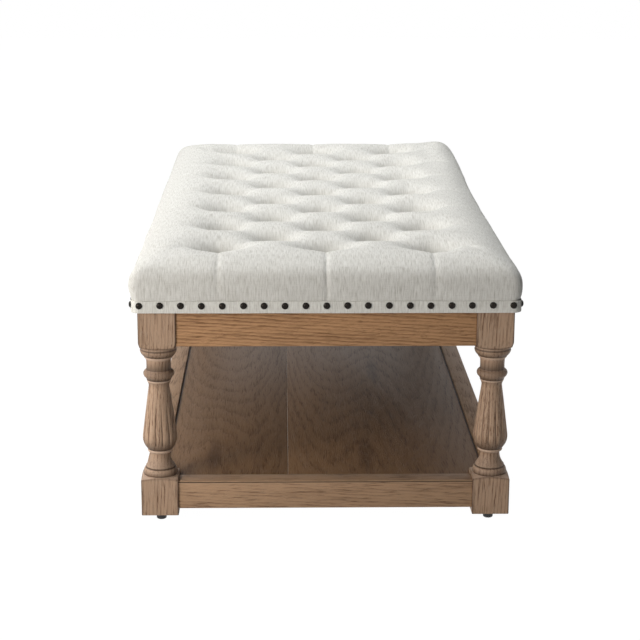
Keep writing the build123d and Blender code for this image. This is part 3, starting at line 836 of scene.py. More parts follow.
@dataclass
class Timberwork:
    """Aprons, rails, shelf and the hidden frame, as the model's own pieces with eased edges.

    An edge shorter than least_edge easings stays sharp.
    """

    easing: float = 0.0012
    least_edge: int = 8
    # Widths and drop of the painted shadow lines at the joints, where the gaps lie in shade.
    rail_end_line: float = 0.004
    lip_drop: float = 0.0026
    lip_line: float = 0.0014
    board_side_line: float = 0.005
    board_end_line: float = 0.003
    plain: WoodFinish = WoodFinish(
        "plain_wood", pale=(0.62, 0.46, 0.29), dark=(0.42, 0.27, 0.14), pore=(0.30, 0.18, 0.09),
        run=Run.ALONG_X, pore_share=0.25, ring_width=0.006,
    )
    shelf: WoodFinish = WoodFinish(
        "shelf_wood", pale=(0.265, 0.152, 0.078), dark=(0.132, 0.068, 0.032), pore=(0.080, 0.039, 0.018),
        run=Run.ALONG_Y, pore_share=0.20, ring_width=0.007, waver=0.034, figure=0.13, contrast=0.23,
        knots=((-0.197, -0.531, 0.074), (0.075, -0.534, 0.074), (0.117, 0.025, 0.074)),
        roughness=0.46, specular=0.12,
    )
    runs: tuple[tuple[str, Run], ...] = (
        ("front", Run.ALONG_X), ("back", Run.ALONG_X), ("left", Run.ALONG_Y), ("right", Run.ALONG_Y),
    )

    def build(self) -> None:
        """Dress every wooden node that isn't a leg."""
        for side, run in self.runs:
            low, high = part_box(f"apron_{side}")
            axis = 0 if run is Run.ALONG_X else 1
            # Painted shadow lines at the apron ends and under the rail's lip.
            ends = ((axis, low[axis], self.rail_end_line), (axis, high[axis], self.rail_end_line))
            lip = (2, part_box(f"shelf_rail_{side}")[1].z - self.lip_drop, self.lip_line)
            apron = replace(APRON_WOOD, shadow_lines=ends)
            rail = replace(RAIL_WOOD, shadow_lines=(*ends, lip))
            self.ease(f"apron_{side}", apron, run, "rail_wood")
            self.ease(f"shelf_rail_{side}", rail, run, "rail_wood")
            self.ease(f"shelf_cleat_{side}", self.plain, run, "inner_wood")
            self.ease(f"top_frame_{side}", self.plain, run, "inner_wood")
        for side, axis_end in (("left", 0), ("right", 1)):
            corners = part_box(f"shelf_board_{side}")
            # Painted shadow lines along the board's side by the rail and at its ends.
            ends = tuple((1, corner.y, self.board_end_line) for corner in corners)
            edges = ((0, corners[axis_end].x, self.board_side_line), *ends)
            self.ease(f"shelf_board_{side}", replace(self.shelf, shadow_lines=edges), Run.ALONG_Y, "shelf_wood")
        for side in ("front", "back"):
            self.ease(f"apron_cross_rail_{side}", self.plain, Run.ALONG_X, "inner_wood")
            self.ease(f"top_frame_cross_{side}", self.plain, Run.ALONG_X, "inner_wood")
        for corner in Legs.corners:
            self.ease(f"corner_block_{corner}", self.plain, Run.ALONG_X, "inner_wood")
        self.ease("shelf_bearer", self.plain, Run.ALONG_X, "inner_wood")
        self.ease("deck_board", self.plain, Run.ALONG_Y, "deck_ply")

    def ease(self, node: str, finish: WoodFinish, run: Run, slot: str) -> None:
        """Copy a node with its sharp outer edges rounded over.

        Args:
            node: The node's name.
            finish: Its wood.
            run: Which way its grain runs.
            slot: The record's material slot.
        """
        bm = mesh_of(node, FLAT_ANGLE)
        least = self.least_edge * self.easing
        outer = [
            edge for edge in ridges(bm) if edge.is_manifold and edge.is_convex and edge.calc_length() > least
        ]
        round_over(bm, outer, self.easing)
        shade_smooth(bm)
        place_piece(bm, f"eased_{node}", wood_for(node, finish, run).material(), slot, node)


@dataclass
class TuftedCushion:
    """The linen cushion: diamonds between sunk tufts, and pleats from the outer tufts to the edges.

    The cover is worked out on its flat cut, whose u runs across the table and v along it, both from
    the middle. A ring of the cut, as far from the middle as the crown's edge and a drop beyond it,
    lies on one rounded rectangle of the cushion.
    """

    cell: float = 0.0073
    foot_corner: float = 0.014
    profile: tuple[Span, ...] = (
        (0.100, 0.0), (0.085, 0.0003), (0.066, 0.0014), (0.045, 0.0042), (0.031, 0.0074), (0.021, 0.0110),
        (0.0138, 0.0152), (0.0083, 0.0204), (0.0041, 0.0268), (0.0014, 0.0342), (0.0002, 0.0420),
        (0.0, 0.0500), (0.0001, 0.0560), (0.0006, 0.0620), (0.0017, 0.0675), (0.003, 0.0712),
    )
    turn_under: float = 0.022
    cloth_thickness: float = 0.0013
    foam_clearance: float = 0.016
    crown_corner_share: float = 0.28
    gather: float = 0.42
    tuft_depth: float = 0.033
    tuft_reach: float = 0.0325
    fold_depth: float = 0.0075
    pleat_depth: float = 0.0055
    pleat_reach: float = 0.0030
    valley_depth: float = 0.0085
    pressure: float = 4.0
    frames: int = 20
    puff_limit: float = 0.0055
    start_lower: float = 0.0030
    wander: float = 0.0012
    fuller: tuple[tuple[float, float, float, float], ...] = (
        (0.33, 0.62, 0.38, 0.0140), (-0.33, -0.69, 0.05, 0.0030),
    )
    shoulder_rise: Span = (0.025, 0.085)
    shoulder_fall: Span = (0.118, 0.149)
    held_cells: float = 1.5
    # Sinking at which the painted shade in the tuft hollows starts.
    hollow_start: float = 0.004
    bell_power: float = 2.2
    button_grip: Span = (0.008, 0.014)
    fold_power: float = 0.5
    pleats_start: float = 0.045
    wander_scale: Span = (9.0, 14.0)
    crown_fade: float = 0.55
    crown_fade_span: Span = (0.02, 0.075)
    side_fade: float = 0.45
    side_fade_start: float = 0.10
    valley_width: float = 0.020
    valley_span: Span = (0.01, 0.09)
    cloth_quality: int = 4
    stiffness: float = 25.0
    bending: float = 1.5
    foot_gap: float = 0.0002
    inner_foot: float = 0.0012
    roof_gap: float = 0.001
    foam_rise: float = 0.005
    pocket_rise: float = 0.030
    seam_angle: float = math.radians(70)

    def build(self) -> None:
        """Build the cushion's cover."""
        low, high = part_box("cushion_cover")
        self.half = Vector(((high.x - low.x) / 2, (high.y - low.y) / 2))
        self.centre = Vector(((low.x + high.x) / 2, (low.y + high.y) / 2))
        self.crown = high.z
        self.foot = low.z
        places = [middle_of(points) for points in islands("tuft_buttons")]
        self.tufts = [(place.x, place.y) for place in places]
        self.outer = Vector((max(x for x, _ in self.tufts), max(y for _, y in self.tufts)))
        self.pitch = self.outer.x / 2
        drops = [math.dist(a, b) for a, b in zip(self.profile, self.profile[1:])]
        self.drop = sum(drops)
        flat = self.half - Vector((self.profile[0][0], self.profile[0][0]))
        bm = self.cut(flat)
        self.shape(bm, flat)
        cover = self.puffed(bm)
        self.close(cover)
        material = LinenFinish(shaded_hollows=True).material()
        piece = place_piece(cover, "cushion", material, "linen", "cushion_cover")

    def cut(self, flat: Vector) -> Mesh:
        """Lay out the cover's flat cut.

        Args:
            flat: Half the crown's width and length.

        Returns:
            The cut, flat on the XY plane.
        """
        reach = flat + Vector((self.drop, self.drop))
        across = 2 * round(reach.x / self.cell)
        along = 2 * round(reach.y / self.cell)
        bm = bmesh.new()
        bmesh.ops.create_grid(bm, x_segments=across, y_segments=along, size=1.0)
        bmesh.ops.scale(bm, vec=(reach.x, reach.y, 1.0), verts=bm.verts)
        for vert in bm.verts:
            vert.co.x = self.drawn_in(vert.co.x, self.outer.x)
            vert.co.y = self.drawn_in(vert.co.y, self.outer.y)
        return bm

    def drawn_in(self, place: float, outer: float) -> float:
        """Draw a line of the cut towards the nearest line of tufts, where its detail is.

        Args:
            place: The line's distance from the middle.
            outer: The outer tufts' distance from the middle.

        Returns:
            The line's new distance.
        """
        if abs(place) > outer + self.pitch / 2:
            return place
        line = round(place / self.pitch) * self.pitch
        share = (place - line) / self.pitch
        return line + share * (self.gather + (1 - self.gather) * 4 * share * share) * self.pitch

    def shape(self, bm: Mesh, flat: Vector) -> None:
        """Lay the cut over the cushion, with its tufts, folds and pleats.

        Args:
            bm: The cut.
            flat: Half the crown's width and length.
        """
        for name in ("pin", "hollow"):
            bm.verts.layers.float.new(name)
        cloth = bm.loops.layers.uv.new(CUT_MAP)
        pin = bm.verts.layers.float["pin"]
        hollow = bm.verts.layers.float["hollow"]
        bm.verts.index_update()
        spots = [self.place(vert.co.xy, flat) for vert in bm.verts]
        for face in bm.faces:
            middle = face.calc_center_median()
            axis = 1 if abs(middle.y) - flat.y > abs(middle.x) - flat.x else 0
            for loop in face.loops:
                plain = spots[loop.vert.index][0]
                thread = [plain.x, plain.y]
                thread[axis] += math.copysign(self.crown - plain.z, thread[axis])
                loop[cloth].uv = thread
        for vert, (plain, sunk, held) in zip(bm.verts, spots):
            vert.co = plain - sunk
            vert[pin] = held
            # Painted shade: the deeper a point sinks into a tuft, the darker its linen is made.
            vert[hollow] = smooth_step(self.hollow_start, self.tuft_depth, sunk.length)

    def place(self, cut: Vector, flat: Vector) -> tuple[Vector, Vector, float]:
        """Find where a point of the cut lies on the cushion.

        Args:
            cut: The point on the flat cut.
            flat: Half the crown's width and length.

        Returns:
            The place on the plain cushion, the sinking of its tufts and folds, and how firmly held it is.
        """
        beyond = max(abs(cut.x) - flat.x, abs(cut.y) - flat.y, -NEARLY_ALL * flat.x)
        inset, fall, tilt = self.section(max(0.0, beyond))
        shrink = -min(0.0, beyond)
        size = self.half - Vector((inset + shrink, inset + shrink))
        radius = (self.foot_corner + self.crown_corner_share * inset) * min(1.0, max(0.0, size.x / flat.x))
        stretch = Vector((size.x / (flat.x + beyond), size.y / (flat.y + beyond)))
        spot = Vector((cut.x * stretch.x, cut.y * stretch.y))
        spot, side = self.rounded(spot, size, radius)
        plain = Vector((*(self.centre + spot), self.crown - fall))
        sunk, held = self.sink(spot, max(0.0, beyond))
        normal = Vector((side.x * math.sin(tilt), side.y * math.sin(tilt), math.cos(tilt)))
        plain.z -= self.start_lower * (1 - held) * normal.z
        plain += normal * (abs(side.x) * self.fullness(spot, max(0.0, beyond)))
        if beyond > self.drop - self.held_cells * self.cell:
            held = 1.0
        return plain, normal * sunk, held

    def fullness(self, spot: Vector, drop: float) -> float:
        """Work out how far the shoulder swells where it is stuffed fuller.

        Args:
            spot: The point on the plan.
            drop: How far down the side, from the crown's edge.

        Returns:
            The swelling.
        """
        shoulder = smooth_step(*self.shoulder_rise, drop) * (1 - smooth_step(*self.shoulder_fall, drop))
        swelling = 0.0
        for x, y, reach, amount in self.fuller:
            swelling += amount * shoulder * math.exp(-(math.dist(spot, (x, y)) / reach) ** 2)
        return swelling

    def section(self, drop: float) -> tuple[float, float, float]:
        """Follow the cushion's section over its edge.

        Args:
            drop: How far down the cloth, from the crown's edge.

        Returns:
            The inset from the widest line, the fall from the crown and the surface's tilt.
        """
        for start, end in zip(self.profile, self.profile[1:]):
            length = math.dist(start, end)
            if drop <= length or end == self.profile[-1]:
                break
            drop -= length
        share = drop / length
        inset = start[0] + (end[0] - start[0]) * share
        fall = start[1] + (end[1] - start[1]) * share
        return inset, fall, math.atan2(end[1] - start[1], start[0] - end[0])

    @staticmethod
    def rounded(spot: Vector, size: Vector, radius: float) -> tuple[Vector, Vector]:
        """Bring a point of a rectangle's corner onto the corner's arc.

        Args:
            spot: The point, on the rectangle.
            size: Half the rectangle's width and length.
            radius: The corner's radius.

        Returns:
            The point on the rounded rectangle, and which way is out there.
        """
        hub = Vector((size.x - radius, size.y - radius))
        over = Vector((abs(spot.x) - hub.x, abs(spot.y) - hub.y))
        signs = Vector((math.copysign(1, spot.x), math.copysign(1, spot.y)))
        if (over.x <= 0 and over.y <= 0) or radius <= 0:
            return spot, Vector((0.0, 0.0))
        if over.x <= 0:
            return spot, Vector((0.0, signs.y))
        if over.y <= 0:
            return spot, Vector((signs.x, 0.0))
        reach = max(over)
        angle = math.pi / 4 * (over.y / over.x if over.x >= over.y else 2 - over.x / over.y)
        side = Vector((math.cos(angle), math.sin(angle)))
        placed = hub + side * reach
        return Vector((placed.x * signs.x, placed.y * signs.y)), Vector((side.x * signs.x, side.y * signs.y))

    def sink(self, spot: Vector, drop: float) -> tuple[float, float]:
        """Work out how deep the cover lies below the plain cushion.

        Args:
            spot: The point on the plan.
            drop: How far down the side, from the crown's edge.

        Returns:
            The depth, and how firmly the tufts hold the point.
        """
        nearest = min(math.dist(spot, tuft) for tuft in self.tufts)
        bell = math.exp(-((nearest / self.tuft_reach) ** self.bell_power))
        held = 1.0 - smooth_step(*self.button_grip, nearest)
        over = Vector((abs(spot.x) - self.outer.x, abs(spot.y) - self.outer.y))
        inner = self.clamped(spot, self.outer)
        turns = Vector((inner.x + inner.y, inner.x - inner.y)) / (2 * self.pitch) * math.pi
        depth = self.fold_depth * (1 - abs(math.sin(turns.x) * math.sin(turns.y)) ** self.fold_power)
        outside = smooth_step(0.0, self.pleats_start, max(over))
        if outside > 0:
            depth += (self.pleat(spot, over, drop) - depth) * outside
        across, down = self.wander_scale
        stray = noise.noise(Vector((spot.x * across, spot.y * across, drop * down))) * self.wander
        return self.tuft_depth * bell + depth * (1 - bell) + stray, held

    def pleat(self, spot: Vector, over: Vector, drop: float) -> float:
        """Work out the depth of the pleats between the outer tufts and the edge.

        Args:
            spot: The point on the plan.
            over: How far it lies outside the outer tufts.
            drop: How far down the side, from the crown's edge.

        Returns:
            The depth.
        """
        if over.x > 0 and over.y > 0:
            aside = min(over.x, over.y)
        else:
            along = spot.y if over.x > 0 else spot.x
            aside = abs(along - round(along / (2 * self.pitch)) * 2 * self.pitch)
        beyond = max(over.x, over.y)
        crown_fade = 1 - self.crown_fade * smooth_step(*self.crown_fade_span, beyond)
        side_fade = 1 - self.side_fade * smooth_step(self.side_fade_start, self.drop, drop)
        crease = math.exp(-aside / self.pleat_reach)
        valley = math.exp(-((aside / self.valley_width) ** 2)) * (1 - smooth_step(*self.valley_span, beyond))
        return self.pleat_depth * crease * crown_fade * side_fade + self.valley_depth * valley

    def puffed(self, bm: Mesh) -> Mesh:
        """Puff the cover by cloth simulation, held at its tufts and its foot, and subdivide it.

        Args:
            bm: The cover. It is freed.

        Returns:
            The puffed cover.
        """
        cover = new_object("cover", bm)
        self.simulate(cover)
        finer = cover.modifiers.new("finer", "SUBSURF")
        finer.levels = 1
        finer.render_levels = 1
        puffed = bmesh.new()
        puffed.from_object(cover, bpy.context.evaluated_depsgraph_get())
        bpy.data.objects.remove(cover)
        return puffed

    def simulate(self, cover: bpy.types.Object) -> None:
        """Let pressure swell the cover for a few frames, each point outwards by a little at most."""
        start = [vert.co.copy() for vert in cover.data.vertices]
        outward = [vert.normal.copy() for vert in cover.data.vertices]
        pins = cover.vertex_groups.new(name="pins")
        for index, value in enumerate(cover.data.attributes["pin"].data):
            pins.add([index], value.value, "REPLACE")
        cloth = cover.modifiers.new("cloth", "CLOTH")
        settings = cloth.settings
        settings.quality = self.cloth_quality
        settings.vertex_group_mass = "pins"
        settings.effector_weights.gravity = 0.0
        settings.use_pressure = True
        settings.uniform_pressure_force = self.pressure
        settings.tension_stiffness = self.stiffness
        settings.compression_stiffness = self.stiffness
        settings.bending_stiffness = self.bending
        cloth.point_cache.frame_start = 1
        cloth.point_cache.frame_end = self.frames
        scene = bpy.context.scene
        for frame in range(1, self.frames + 1):
            scene.frame_set(frame)
        swollen = cover.evaluated_get(bpy.context.evaluated_depsgraph_get()).to_mesh()
        places = [vert.co.copy() for vert in swollen.vertices]
        cover.modifiers.remove(cloth)
        for vert, was, now, out in zip(cover.data.vertices, start, places, outward):
            step = now - was
            step -= out * min(0.0, step.dot(out))
            limit = self.puff_limit / max(step.length, self.puff_limit)
            vert.co = was + step * limit
        scene.frame_set(1)

    def drawn_ring(self, spot: Vector, inset: float) -> Vector:
        """Draw a point of the foot's rounded rectangle inwards.

        Args:
            spot: The point, from the middle.
            inset: How far in it goes.

        Returns:
            The point on the smaller ring.
        """
        foot_inset = self.profile[-1][0]
        radius = self.foot_corner + self.crown_corner_share * foot_inset
        size = self.half - Vector((foot_inset, foot_inset))
        core = self.clamped(spot, size - Vector((radius, radius)))
        if inset <= radius:
            return core + (spot - core) * (1 - inset / radius)
        return self.clamped(spot, size - Vector((inset, inset)))

    @staticmethod
    def clamped(spot: Vector, size: Vector) -> Vector:
        """Return a point brought into a rectangle of that half width and length."""
        return Vector((max(-size.x, min(size.x, spot.x)), max(-size.y, min(size.y, spot.y))))

    def close(self, bm: Mesh) -> None:
        """Bring the cover down behind the band, under the frame and back up inside.

        Args:
            bm: The cover.
        """
        for name in ("ring_x", "ring_y"):
            bm.verts.layers.float.new(name)
        ring_x = bm.verts.layers.float["ring_x"]
        ring_y = bm.verts.layers.float["ring_y"]
        cloth = bm.loops.layers.uv[CUT_MAP]
        top = self.crown - self.profile[-1][1]
        edge = [edge for edge in bm.edges if edge.is_boundary]
        for rim in edge:
            for vert in rim.verts:
                vert[ring_x] = vert.co.x - self.centre.x
                vert[ring_y] = vert.co.y - self.centre.y
        steps = (
            (0.0, self.foot + self.foot_gap), (self.turn_under, self.foot + self.foot_gap),
            (self.turn_under, self.foot + self.cloth_thickness),
            (self.cloth_thickness, self.foot + self.inner_foot), (self.cloth_thickness, top + self.roof_gap),
            (self.foam_clearance, top + self.foam_rise), (self.foam_clearance, top + self.pocket_rise),
        )
        for inset, height in steps:
            made = bmesh.ops.extrude_edge_only(bm, edges=edge)["geom"]
            edge = [item for item in made if isinstance(item, Edge)]
            for vert in {vert for rim in edge for vert in rim.verts}:
                spot = self.drawn_ring(Vector((vert[ring_x], vert[ring_y])), inset)
                vert.co = Vector((*(self.centre + spot), height))
        bmesh.ops.contextual_create(bm, geom=edge)
        bmesh.ops.recalc_face_normals(bm, faces=bm.faces)
        for face in bm.faces:
            if face.calc_center_median().z < top - MERGE_DISTANCE:
                for loop in face.loops:
                    loop[cloth].uv = loop.vert.co.xy
        shade_smooth(bm, self.seam_angle)


@dataclass
class Trim:
    """The strip of linen round the cushion's foot."""

    edge_round: float = 0.0007
    cut_spacing: float = 0.012
    wave: float = 0.0004
    side_wave_scale: Triple = (23.0, 23.0, 40.0)
    rise_wave_scale: float = 11.0
    rise_wave_place: float = 5.0
    # Painted light: a paler copy of the cushion's linen, which lightens the band where it lies in the
    # cushion's shade.
    linen: LinenFinish = LinenFinish("band_linen_lightened", pale=(0.90, 0.885, 0.83), dark=(0.52, 0.49, 0.43))

    def build(self) -> None:
        """Build the band with rounded edges and a slight wave."""
        low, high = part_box("trim_band")
        bm = mesh_of("trim_band", FLAT_ANGLE / 2)
        round_over(bm, ridges(bm), self.edge_round)
        for axis in (0, 1):
            span = high[axis] - low[axis]
            cuts = round(span / self.cut_spacing)
            for number in range(1, cuts):
                place = Vector((0.0, 0.0, 0.0))
                place[axis] = low[axis] + span * number / cuts
                normal = Vector((0.0, 0.0, 0.0))
                normal[axis] = 1.0
                bmesh.ops.bisect_plane(
                    bm, geom=[*bm.verts, *bm.edges, *bm.faces], plane_co=place, plane_no=normal,
                    dist=MERGE_DISTANCE,
                )
        cloth = bm.loops.layers.uv.new(CUT_MAP)
        middle = (low + high) / 2
        for vert in bm.verts:
            spot = vert.co.xy - middle.xy
            stray = noise.noise(vert.co * Vector(self.side_wave_scale))
            vert.co.xy += spot.normalized() * stray * self.wave
            place = Vector((*(vert.co.xy * self.rise_wave_scale), self.rise_wave_place))
            vert.co.z += noise.noise(place) * self.wave
        bmesh.ops.recalc_face_normals(bm, faces=bm.faces)
        for face in bm.faces:
            across_x = abs(face.normal.x) < abs(face.normal.y)
            for loop in face.loops:
                place = loop.vert.co
                loop[cloth].uv = (place.x if across_x else place.y, place.z)
        shade_smooth(bm)
        piece = place_piece(bm, "foot_band", self.linen.material(), "linen", "trim_band")


@dataclass
class CoveredButtons:
    """Linen-covered buttons at the bottoms of the tufts."""

    rings: int = 8
    steps: int = 24

    def build(self) -> None:
        """Build every button as a crowned disc."""
        bm = bmesh.new()
        for points in islands("tuft_buttons"):
            low, high = box_of(points)
            radius = (high.x - low.x) / 2
            place = Matrix.Translation((low + high) / 2)
            size = Matrix.Diagonal((radius, radius, (high.z - low.z) / 2, 1.0))
            bmesh.ops.create_uvsphere(
                bm, u_segments=self.steps, v_segments=self.rings, radius=1.0, matrix=place @ size,
                calc_uvs=False,
            )
        cloth = bm.loops.layers.uv.new(CUT_MAP)
        for face in bm.faces:
            for loop in face.loops:
                loop[cloth].uv = loop.vert.co.xy
        shade_smooth(bm)
        linen = LinenFinish("button_linen").material()
        piece = place_piece(bm, "covered_buttons", linen, "linen", "tuft_buttons")


@dataclass
class NailRows:
    """Four rows of antique-bronze upholstery nails."""

    sides: tuple[str, ...] = ("front", "right", "back", "left")
    rings: int = 6
    steps: int = 14
    jitter: float = 0.0004
    finish: SpeckledFinish = SpeckledFinish(
        "nail_bronze", colour=(0.010, 0.0076, 0.0058), worn=(0.055, 0.038, 0.024), roughness=0.30,
        metallic=0.9, cloud_size=0.0035, worn_share=0.35, depth=0.00010, coat=0.12,
    )

    def build(self) -> None:
        """Build each row's domed heads."""
        for side in self.sides:
            rows = random.Random(f"nails_{side}")
            bm = bmesh.new()
            for points in islands(f"nails_{side}"):
                self.nail(bm, points, rows)
            shade_smooth(bm)
            place_piece(bm, f"domed_nails_{side}", self.finish.material(), "nail_bronze", f"nails_{side}")

    def nail(self, bm: Mesh, points: list[Vector], rows: random.Random) -> None:
        """Add one domed head, flat against the band.

        Args:
            bm: The row's mesh.
            points: The points of the model's nail.
            rows: The row's random numbers.
        """
        low, high = box_of(points)
        middle = (low + high) / 2
        outward = Vector((math.copysign(1, middle.x), 0.0, 0.0))
        if high.x - low.x > high.y - low.y:
            outward = Vector((0.0, math.copysign(1, middle.y), 0.0))
        height = min(high.x - low.x, high.y - low.y)
        radius = (high.x - low.x + high.y - low.y - height) / 2
        up = Vector((0, 0, 1))
        stray = outward.cross(up) * rows.uniform(-1, 1) + up * rows.uniform(-1, 1)
        base = middle - outward * height / 2 + stray * self.jitter
        part = bmesh.new()
        bmesh.ops.create_uvsphere(part, u_segments=self.steps, v_segments=2 * self.rings, radius=1.0)
        bmesh.ops.bisect_plane(
            part, geom=[*part.verts, *part.edges, *part.faces], plane_co=(0, 0, 0), plane_no=(0, 0, 1),
            dist=MERGE_DISTANCE, clear_inner=True,
        )
        rim = [edge for edge in part.edges if edge.is_boundary]
        bmesh.ops.edgeloop_fill(part, edges=rim)
        bmesh.ops.recalc_face_normals(part, faces=part.faces)
        turn = outward.to_track_quat("Z", "Y").to_matrix().to_4x4()
        size = Matrix.Diagonal((radius, radius, height, 1.0))
        bmesh.ops.transform(part, matrix=Matrix.Translation(base) @ turn @ size, verts=part.verts)
        join(bm, part)


@dataclass
class Underside:
    """Glides, screws, the cloth under the cushion and the foam inside it."""

    glide_round: float = 0.0022
    foam_drawn_in: float = 0.012
    foam_round: float = 0.002
    foam_ridge: float = math.radians(30)
    shank_share: float = 0.5
    head_rise_share: float = 0.6
    head_round_share: float = 0.4
    recess_margin_share: float = 0.45
    recess_depth_share: float = 0.4
    steel: SpeckledFinish = SpeckledFinish(
        "screw_steel", colour=(0.42, 0.41, 0.38), worn=(0.22, 0.21, 0.20), roughness=0.38, metallic=1.0,
    )
    black: SpeckledFinish = SpeckledFinish(
        "glide_black", colour=(0.018, 0.018, 0.019), worn=(0.05, 0.05, 0.05), roughness=0.55,
        cloud_size=0.006,
    )
    foam: SpeckledFinish = SpeckledFinish(
        "foam", colour=(0.76, 0.73, 0.60), worn=(0.66, 0.62, 0.48), roughness=0.95, cloud_size=0.03,
        grain_size=0.0012, depth=0.0006,
    )
    felt: SpeckledFinish = SpeckledFinish(
        "dust_cloth", colour=(0.022, 0.022, 0.023), worn=(0.04, 0.04, 0.04), roughness=0.97, cloud_size=0.02,
        grain_size=0.0009, depth=0.0003,
    )

    def build(self) -> None:
        """Build the glides, screws, dust cover and foam."""
        self.turned_glides()
        for node in ("shelf_screws", "top_fixing_screws"):
            self.screws(node)
        self.dust_cover()
        self.pad()

    def turned_glides(self) -> None:
        """Build the glides as round pads with a rounded lower edge."""
        bm = bmesh.new()
        for points in islands("glides"):
            low, high = box_of(points)
            part = bmesh.new()
            radius = (high.x - low.x) / 2
            bmesh.ops.create_cone(
                part, cap_ends=True, segments=40, radius1=radius, radius2=radius, depth=high.z - low.z,
            )
            round_over(part, lower_edges(part), self.glide_round, 4)
            bmesh.ops.translate(part, vec=(low + high) / 2, verts=part.verts)
            join(bm, part)
        shade_smooth(bm)
        place_piece(bm, "round_glides", self.black.material(), "glide_black", "glides")

    def screws(self, node: str) -> None:
        """Build screws whose head has a rounded lower edge and a round recess.

        Args:
            node: The screws' node.
        """
        bm = bmesh.new()
        for points in islands(node):
            low, high = box_of(points)
            head = (high.x - low.x) / 2
            shank = self.shank_share * head
            rise = self.head_rise_share * head
            part = bmesh.new()
            bmesh.ops.create_cone(part, cap_ends=True, segments=24, radius1=head, radius2=head, depth=rise)
            round_over(part, lower_edges(part), self.head_round_share * rise)
            bmesh.ops.translate(part, vec=(0, 0, rise / 2), verts=part.verts)
            face = min(part.faces, key=lambda item: item.calc_center_median().z)
            margin = self.recess_margin_share * head
            bmesh.ops.inset_region(
                part, faces=[face], thickness=margin, depth=-self.recess_depth_share * rise,
            )
            stem = bmesh.new()
            length = high.z - low.z - rise
            bmesh.ops.create_cone(
                stem, cap_ends=True, segments=16, radius1=shank, radius2=shank, depth=length,
            )
            bmesh.ops.translate(stem, vec=(0, 0, rise + length / 2), verts=stem.verts)
            join(part, stem)
            place = Vector(((low.x + high.x) / 2, (low.y + high.y) / 2, low.z))
            bmesh.ops.translate(part, vec=place, verts=part.verts)
            join(bm, part)
        shade_smooth(bm)
        place_piece(bm, f"pan_{node}", self.steel.material(), "screw_steel", node)

    def dust_cover(self) -> None:
        """Build the black cloth that is stretched under the frame."""
        bm = mesh_of("dust_cover")
        bmesh.ops.recalc_face_normals(bm, faces=bm.faces)
        piece = place_piece(bm, "black_dust_cover", self.felt.material(), "dust_cloth", "dust_cover")

    def pad(self) -> None:
        """Build the foam slab with softened edges."""
        bm = mesh_of("foam_pad", FLAT_ANGLE)
        round_over(bm, ridges(bm, self.foam_ridge), self.foam_round)
        low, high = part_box("foam_pad")
        middle = (low + high) / 2
        for axis in (0, 1):
            share = 1 - 2 * self.foam_drawn_in / (high[axis] - low[axis])
            for vert in bm.verts:
                vert.co[axis] = middle[axis] + (vert.co[axis] - middle[axis]) * share
        shade_smooth(bm)
        piece = place_piece(bm, "foam_slab", self.foam.material(), "foam", "foam_pad")


@dataclass(frozen=True)
class SoftBox:
    """A rectangular soft lamp, with its power in watts."""

    name: str
    place: Triple
    target: Triple
    width: float
    height: float
    power: float
    colour: Colour = (1.0, 1.0, 1.0)

    def hang(self) -> None:
        """Hang the lamp, facing its target."""
        data = bpy.data.lights.new(self.name, "AREA")
        data.color = self.colour
        data.shape = "RECTANGLE"
        data.size = self.width
        data.size_y = self.height
        data.energy = self.power
        lamp = bpy.data.objects.new(self.name, data)
        lamp.location = self.place
        lamp.rotation_euler = (Vector(self.target) - Vector(self.place)).to_track_quat("-Z", "Y").to_euler()
        bpy.context.scene.collection.objects.link(lamp)


def seen(graph: Graph) -> Socket:
    """Return 1 for what the camera sees, straight or in a gloss or a glass, and 0 for light elsewhere."""
    path = graph.node("ShaderNodeLightPath").outputs
    indirect = graph.math("MAXIMUM", path["Is Glossy Ray"], path["Is Transmission Ray"])
    return graph.math("MAXIMUM", path["Is Camera Ray"], indirect)


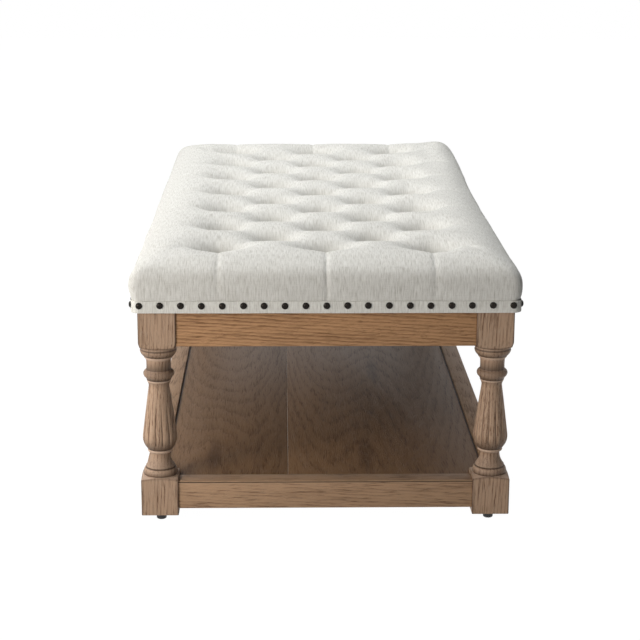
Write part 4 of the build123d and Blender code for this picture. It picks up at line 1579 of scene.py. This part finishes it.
@dataclass
class Studio:
    """Floor, lights, world and the photograph's camera."""

    camera_place: Triple = (-0.0754, -3.4555, 1.0708)
    camera_yaw: float = math.radians(1.33)
    camera_pitch: float = math.radians(14.29)
    camera_roll: float = math.radians(0.22)
    focal_pixels: float = 1700.0
    frame_pixels: float = 640.0
    floor_reach: float = 9.0
    floor_grey: Colour = (0.62, 0.62, 0.62)
    floor_glow: float = 1.06
    floor_white: float = 0.94
    sky_left: float = 0.36
    sky_right: float = 0.02
    sky_reach: float = 0.7
    white: Colour = (1.0, 1.0, 1.0)
    lamps: tuple[SoftBox, ...] = (
        SoftBox("key", place=(-2.2, -0.4, 1.65), target=(0.0, 0.0, 0.30), width=1.3, height=1.5, power=20.0),
        SoftBox(
            "top", place=(-0.20, 0.50, 2.5), target=(0.0, 0.0, 0.45), width=1.6, height=2.2, power=43.5,
            colour=(0.96, 0.985, 1.0),
        ),
        SoftBox(
            "front", place=(-1.6, -1.95, 0.85), target=(0.0, -0.7, 0.25), width=0.9, height=0.9, power=23.0,
            colour=(1.0, 0.965, 0.915),
        ),
    )

    def build(self) -> None:
        """Build the studio."""
        scene = bpy.context.scene
        scene.view_settings.view_transform = "Standard"
        self.camera(scene)
        self.floor()
        self.world(scene)
        for lamp in self.lamps:
            lamp.hang()

    def camera(self, scene: bpy.types.Scene) -> None:
        """Place the camera at the photograph's angle."""
        lens = bpy.data.cameras.new("camera")
        lens.lens = lens.sensor_width * self.focal_pixels / self.frame_pixels
        camera = bpy.data.objects.new("camera", lens)
        turn = (
            Matrix.Rotation(-self.camera_yaw, 4, "Z")
            @ Matrix.Rotation(math.pi / 2 - self.camera_pitch, 4, "X")
            @ Matrix.Rotation(self.camera_roll, 4, "Z")
        )
        camera.matrix_world = Matrix.Translation(self.camera_place) @ turn
        scene.collection.objects.link(camera)
        scene.camera = camera

    def floor(self) -> None:
        """Lay a pale floor that the camera sees as white, with a faint shadow."""
        bm = bmesh.new()
        bmesh.ops.create_grid(bm, x_segments=1, y_segments=1, size=self.floor_reach)
        floor = new_object("floor", bm)
        material, graph, shader = new_material("floor", 0.9)
        graph.feed(shader, {"Base Color": shade(self.floor_grey)})
        lit = {"Color": shade(self.white), "Strength": self.floor_glow}
        glow = graph.node("ShaderNodeEmission", lit)
        share = graph.math("MULTIPLY", seen(graph), self.floor_white)
        mixed = graph.node("ShaderNodeMixShader", {0: share, 1: shader.outputs[0], 2: glow.outputs[0]})
        graph.feed(material.node_tree.nodes["Material Output"], {"Surface": mixed.outputs[0]})
        floor.data.materials.append(material)

    def world(self, scene: bpy.types.Scene) -> None:
        """Light the room softly, more from the left, and show white to the camera."""
        world = bpy.data.worlds.new("studio")
        world.use_nodes = True
        scene.world = world
        graph = Graph(world.node_tree)
        towards = graph.node("ShaderNodeTexCoord").outputs["Generated"]
        across = graph.node("ShaderNodeSeparateXYZ", {0: towards}).outputs[0]
        rightness = graph.step(across, -self.sky_reach, self.sky_reach)
        ambient = graph.math("MULTIPLY_ADD", rightness, self.sky_right - self.sky_left, self.sky_left)
        strength = graph.math("MAXIMUM", seen(graph), ambient)
        graph.feed(world.node_tree.nodes["Background"], {"Color": shade(self.white), "Strength": strength})


def main() -> None:
    """Build the table's pieces in order."""
    logging.basicConfig(level=logging.INFO, format="%(name)s: %(message)s")
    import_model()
    Legs().build()
    Timberwork().build()
    TuftedCushion().build()
    Trim().build()
    CoveredButtons().build()
    NailRows().build()
    Underside().build()
    Studio().build()


if __name__ == "__main__":
    main()
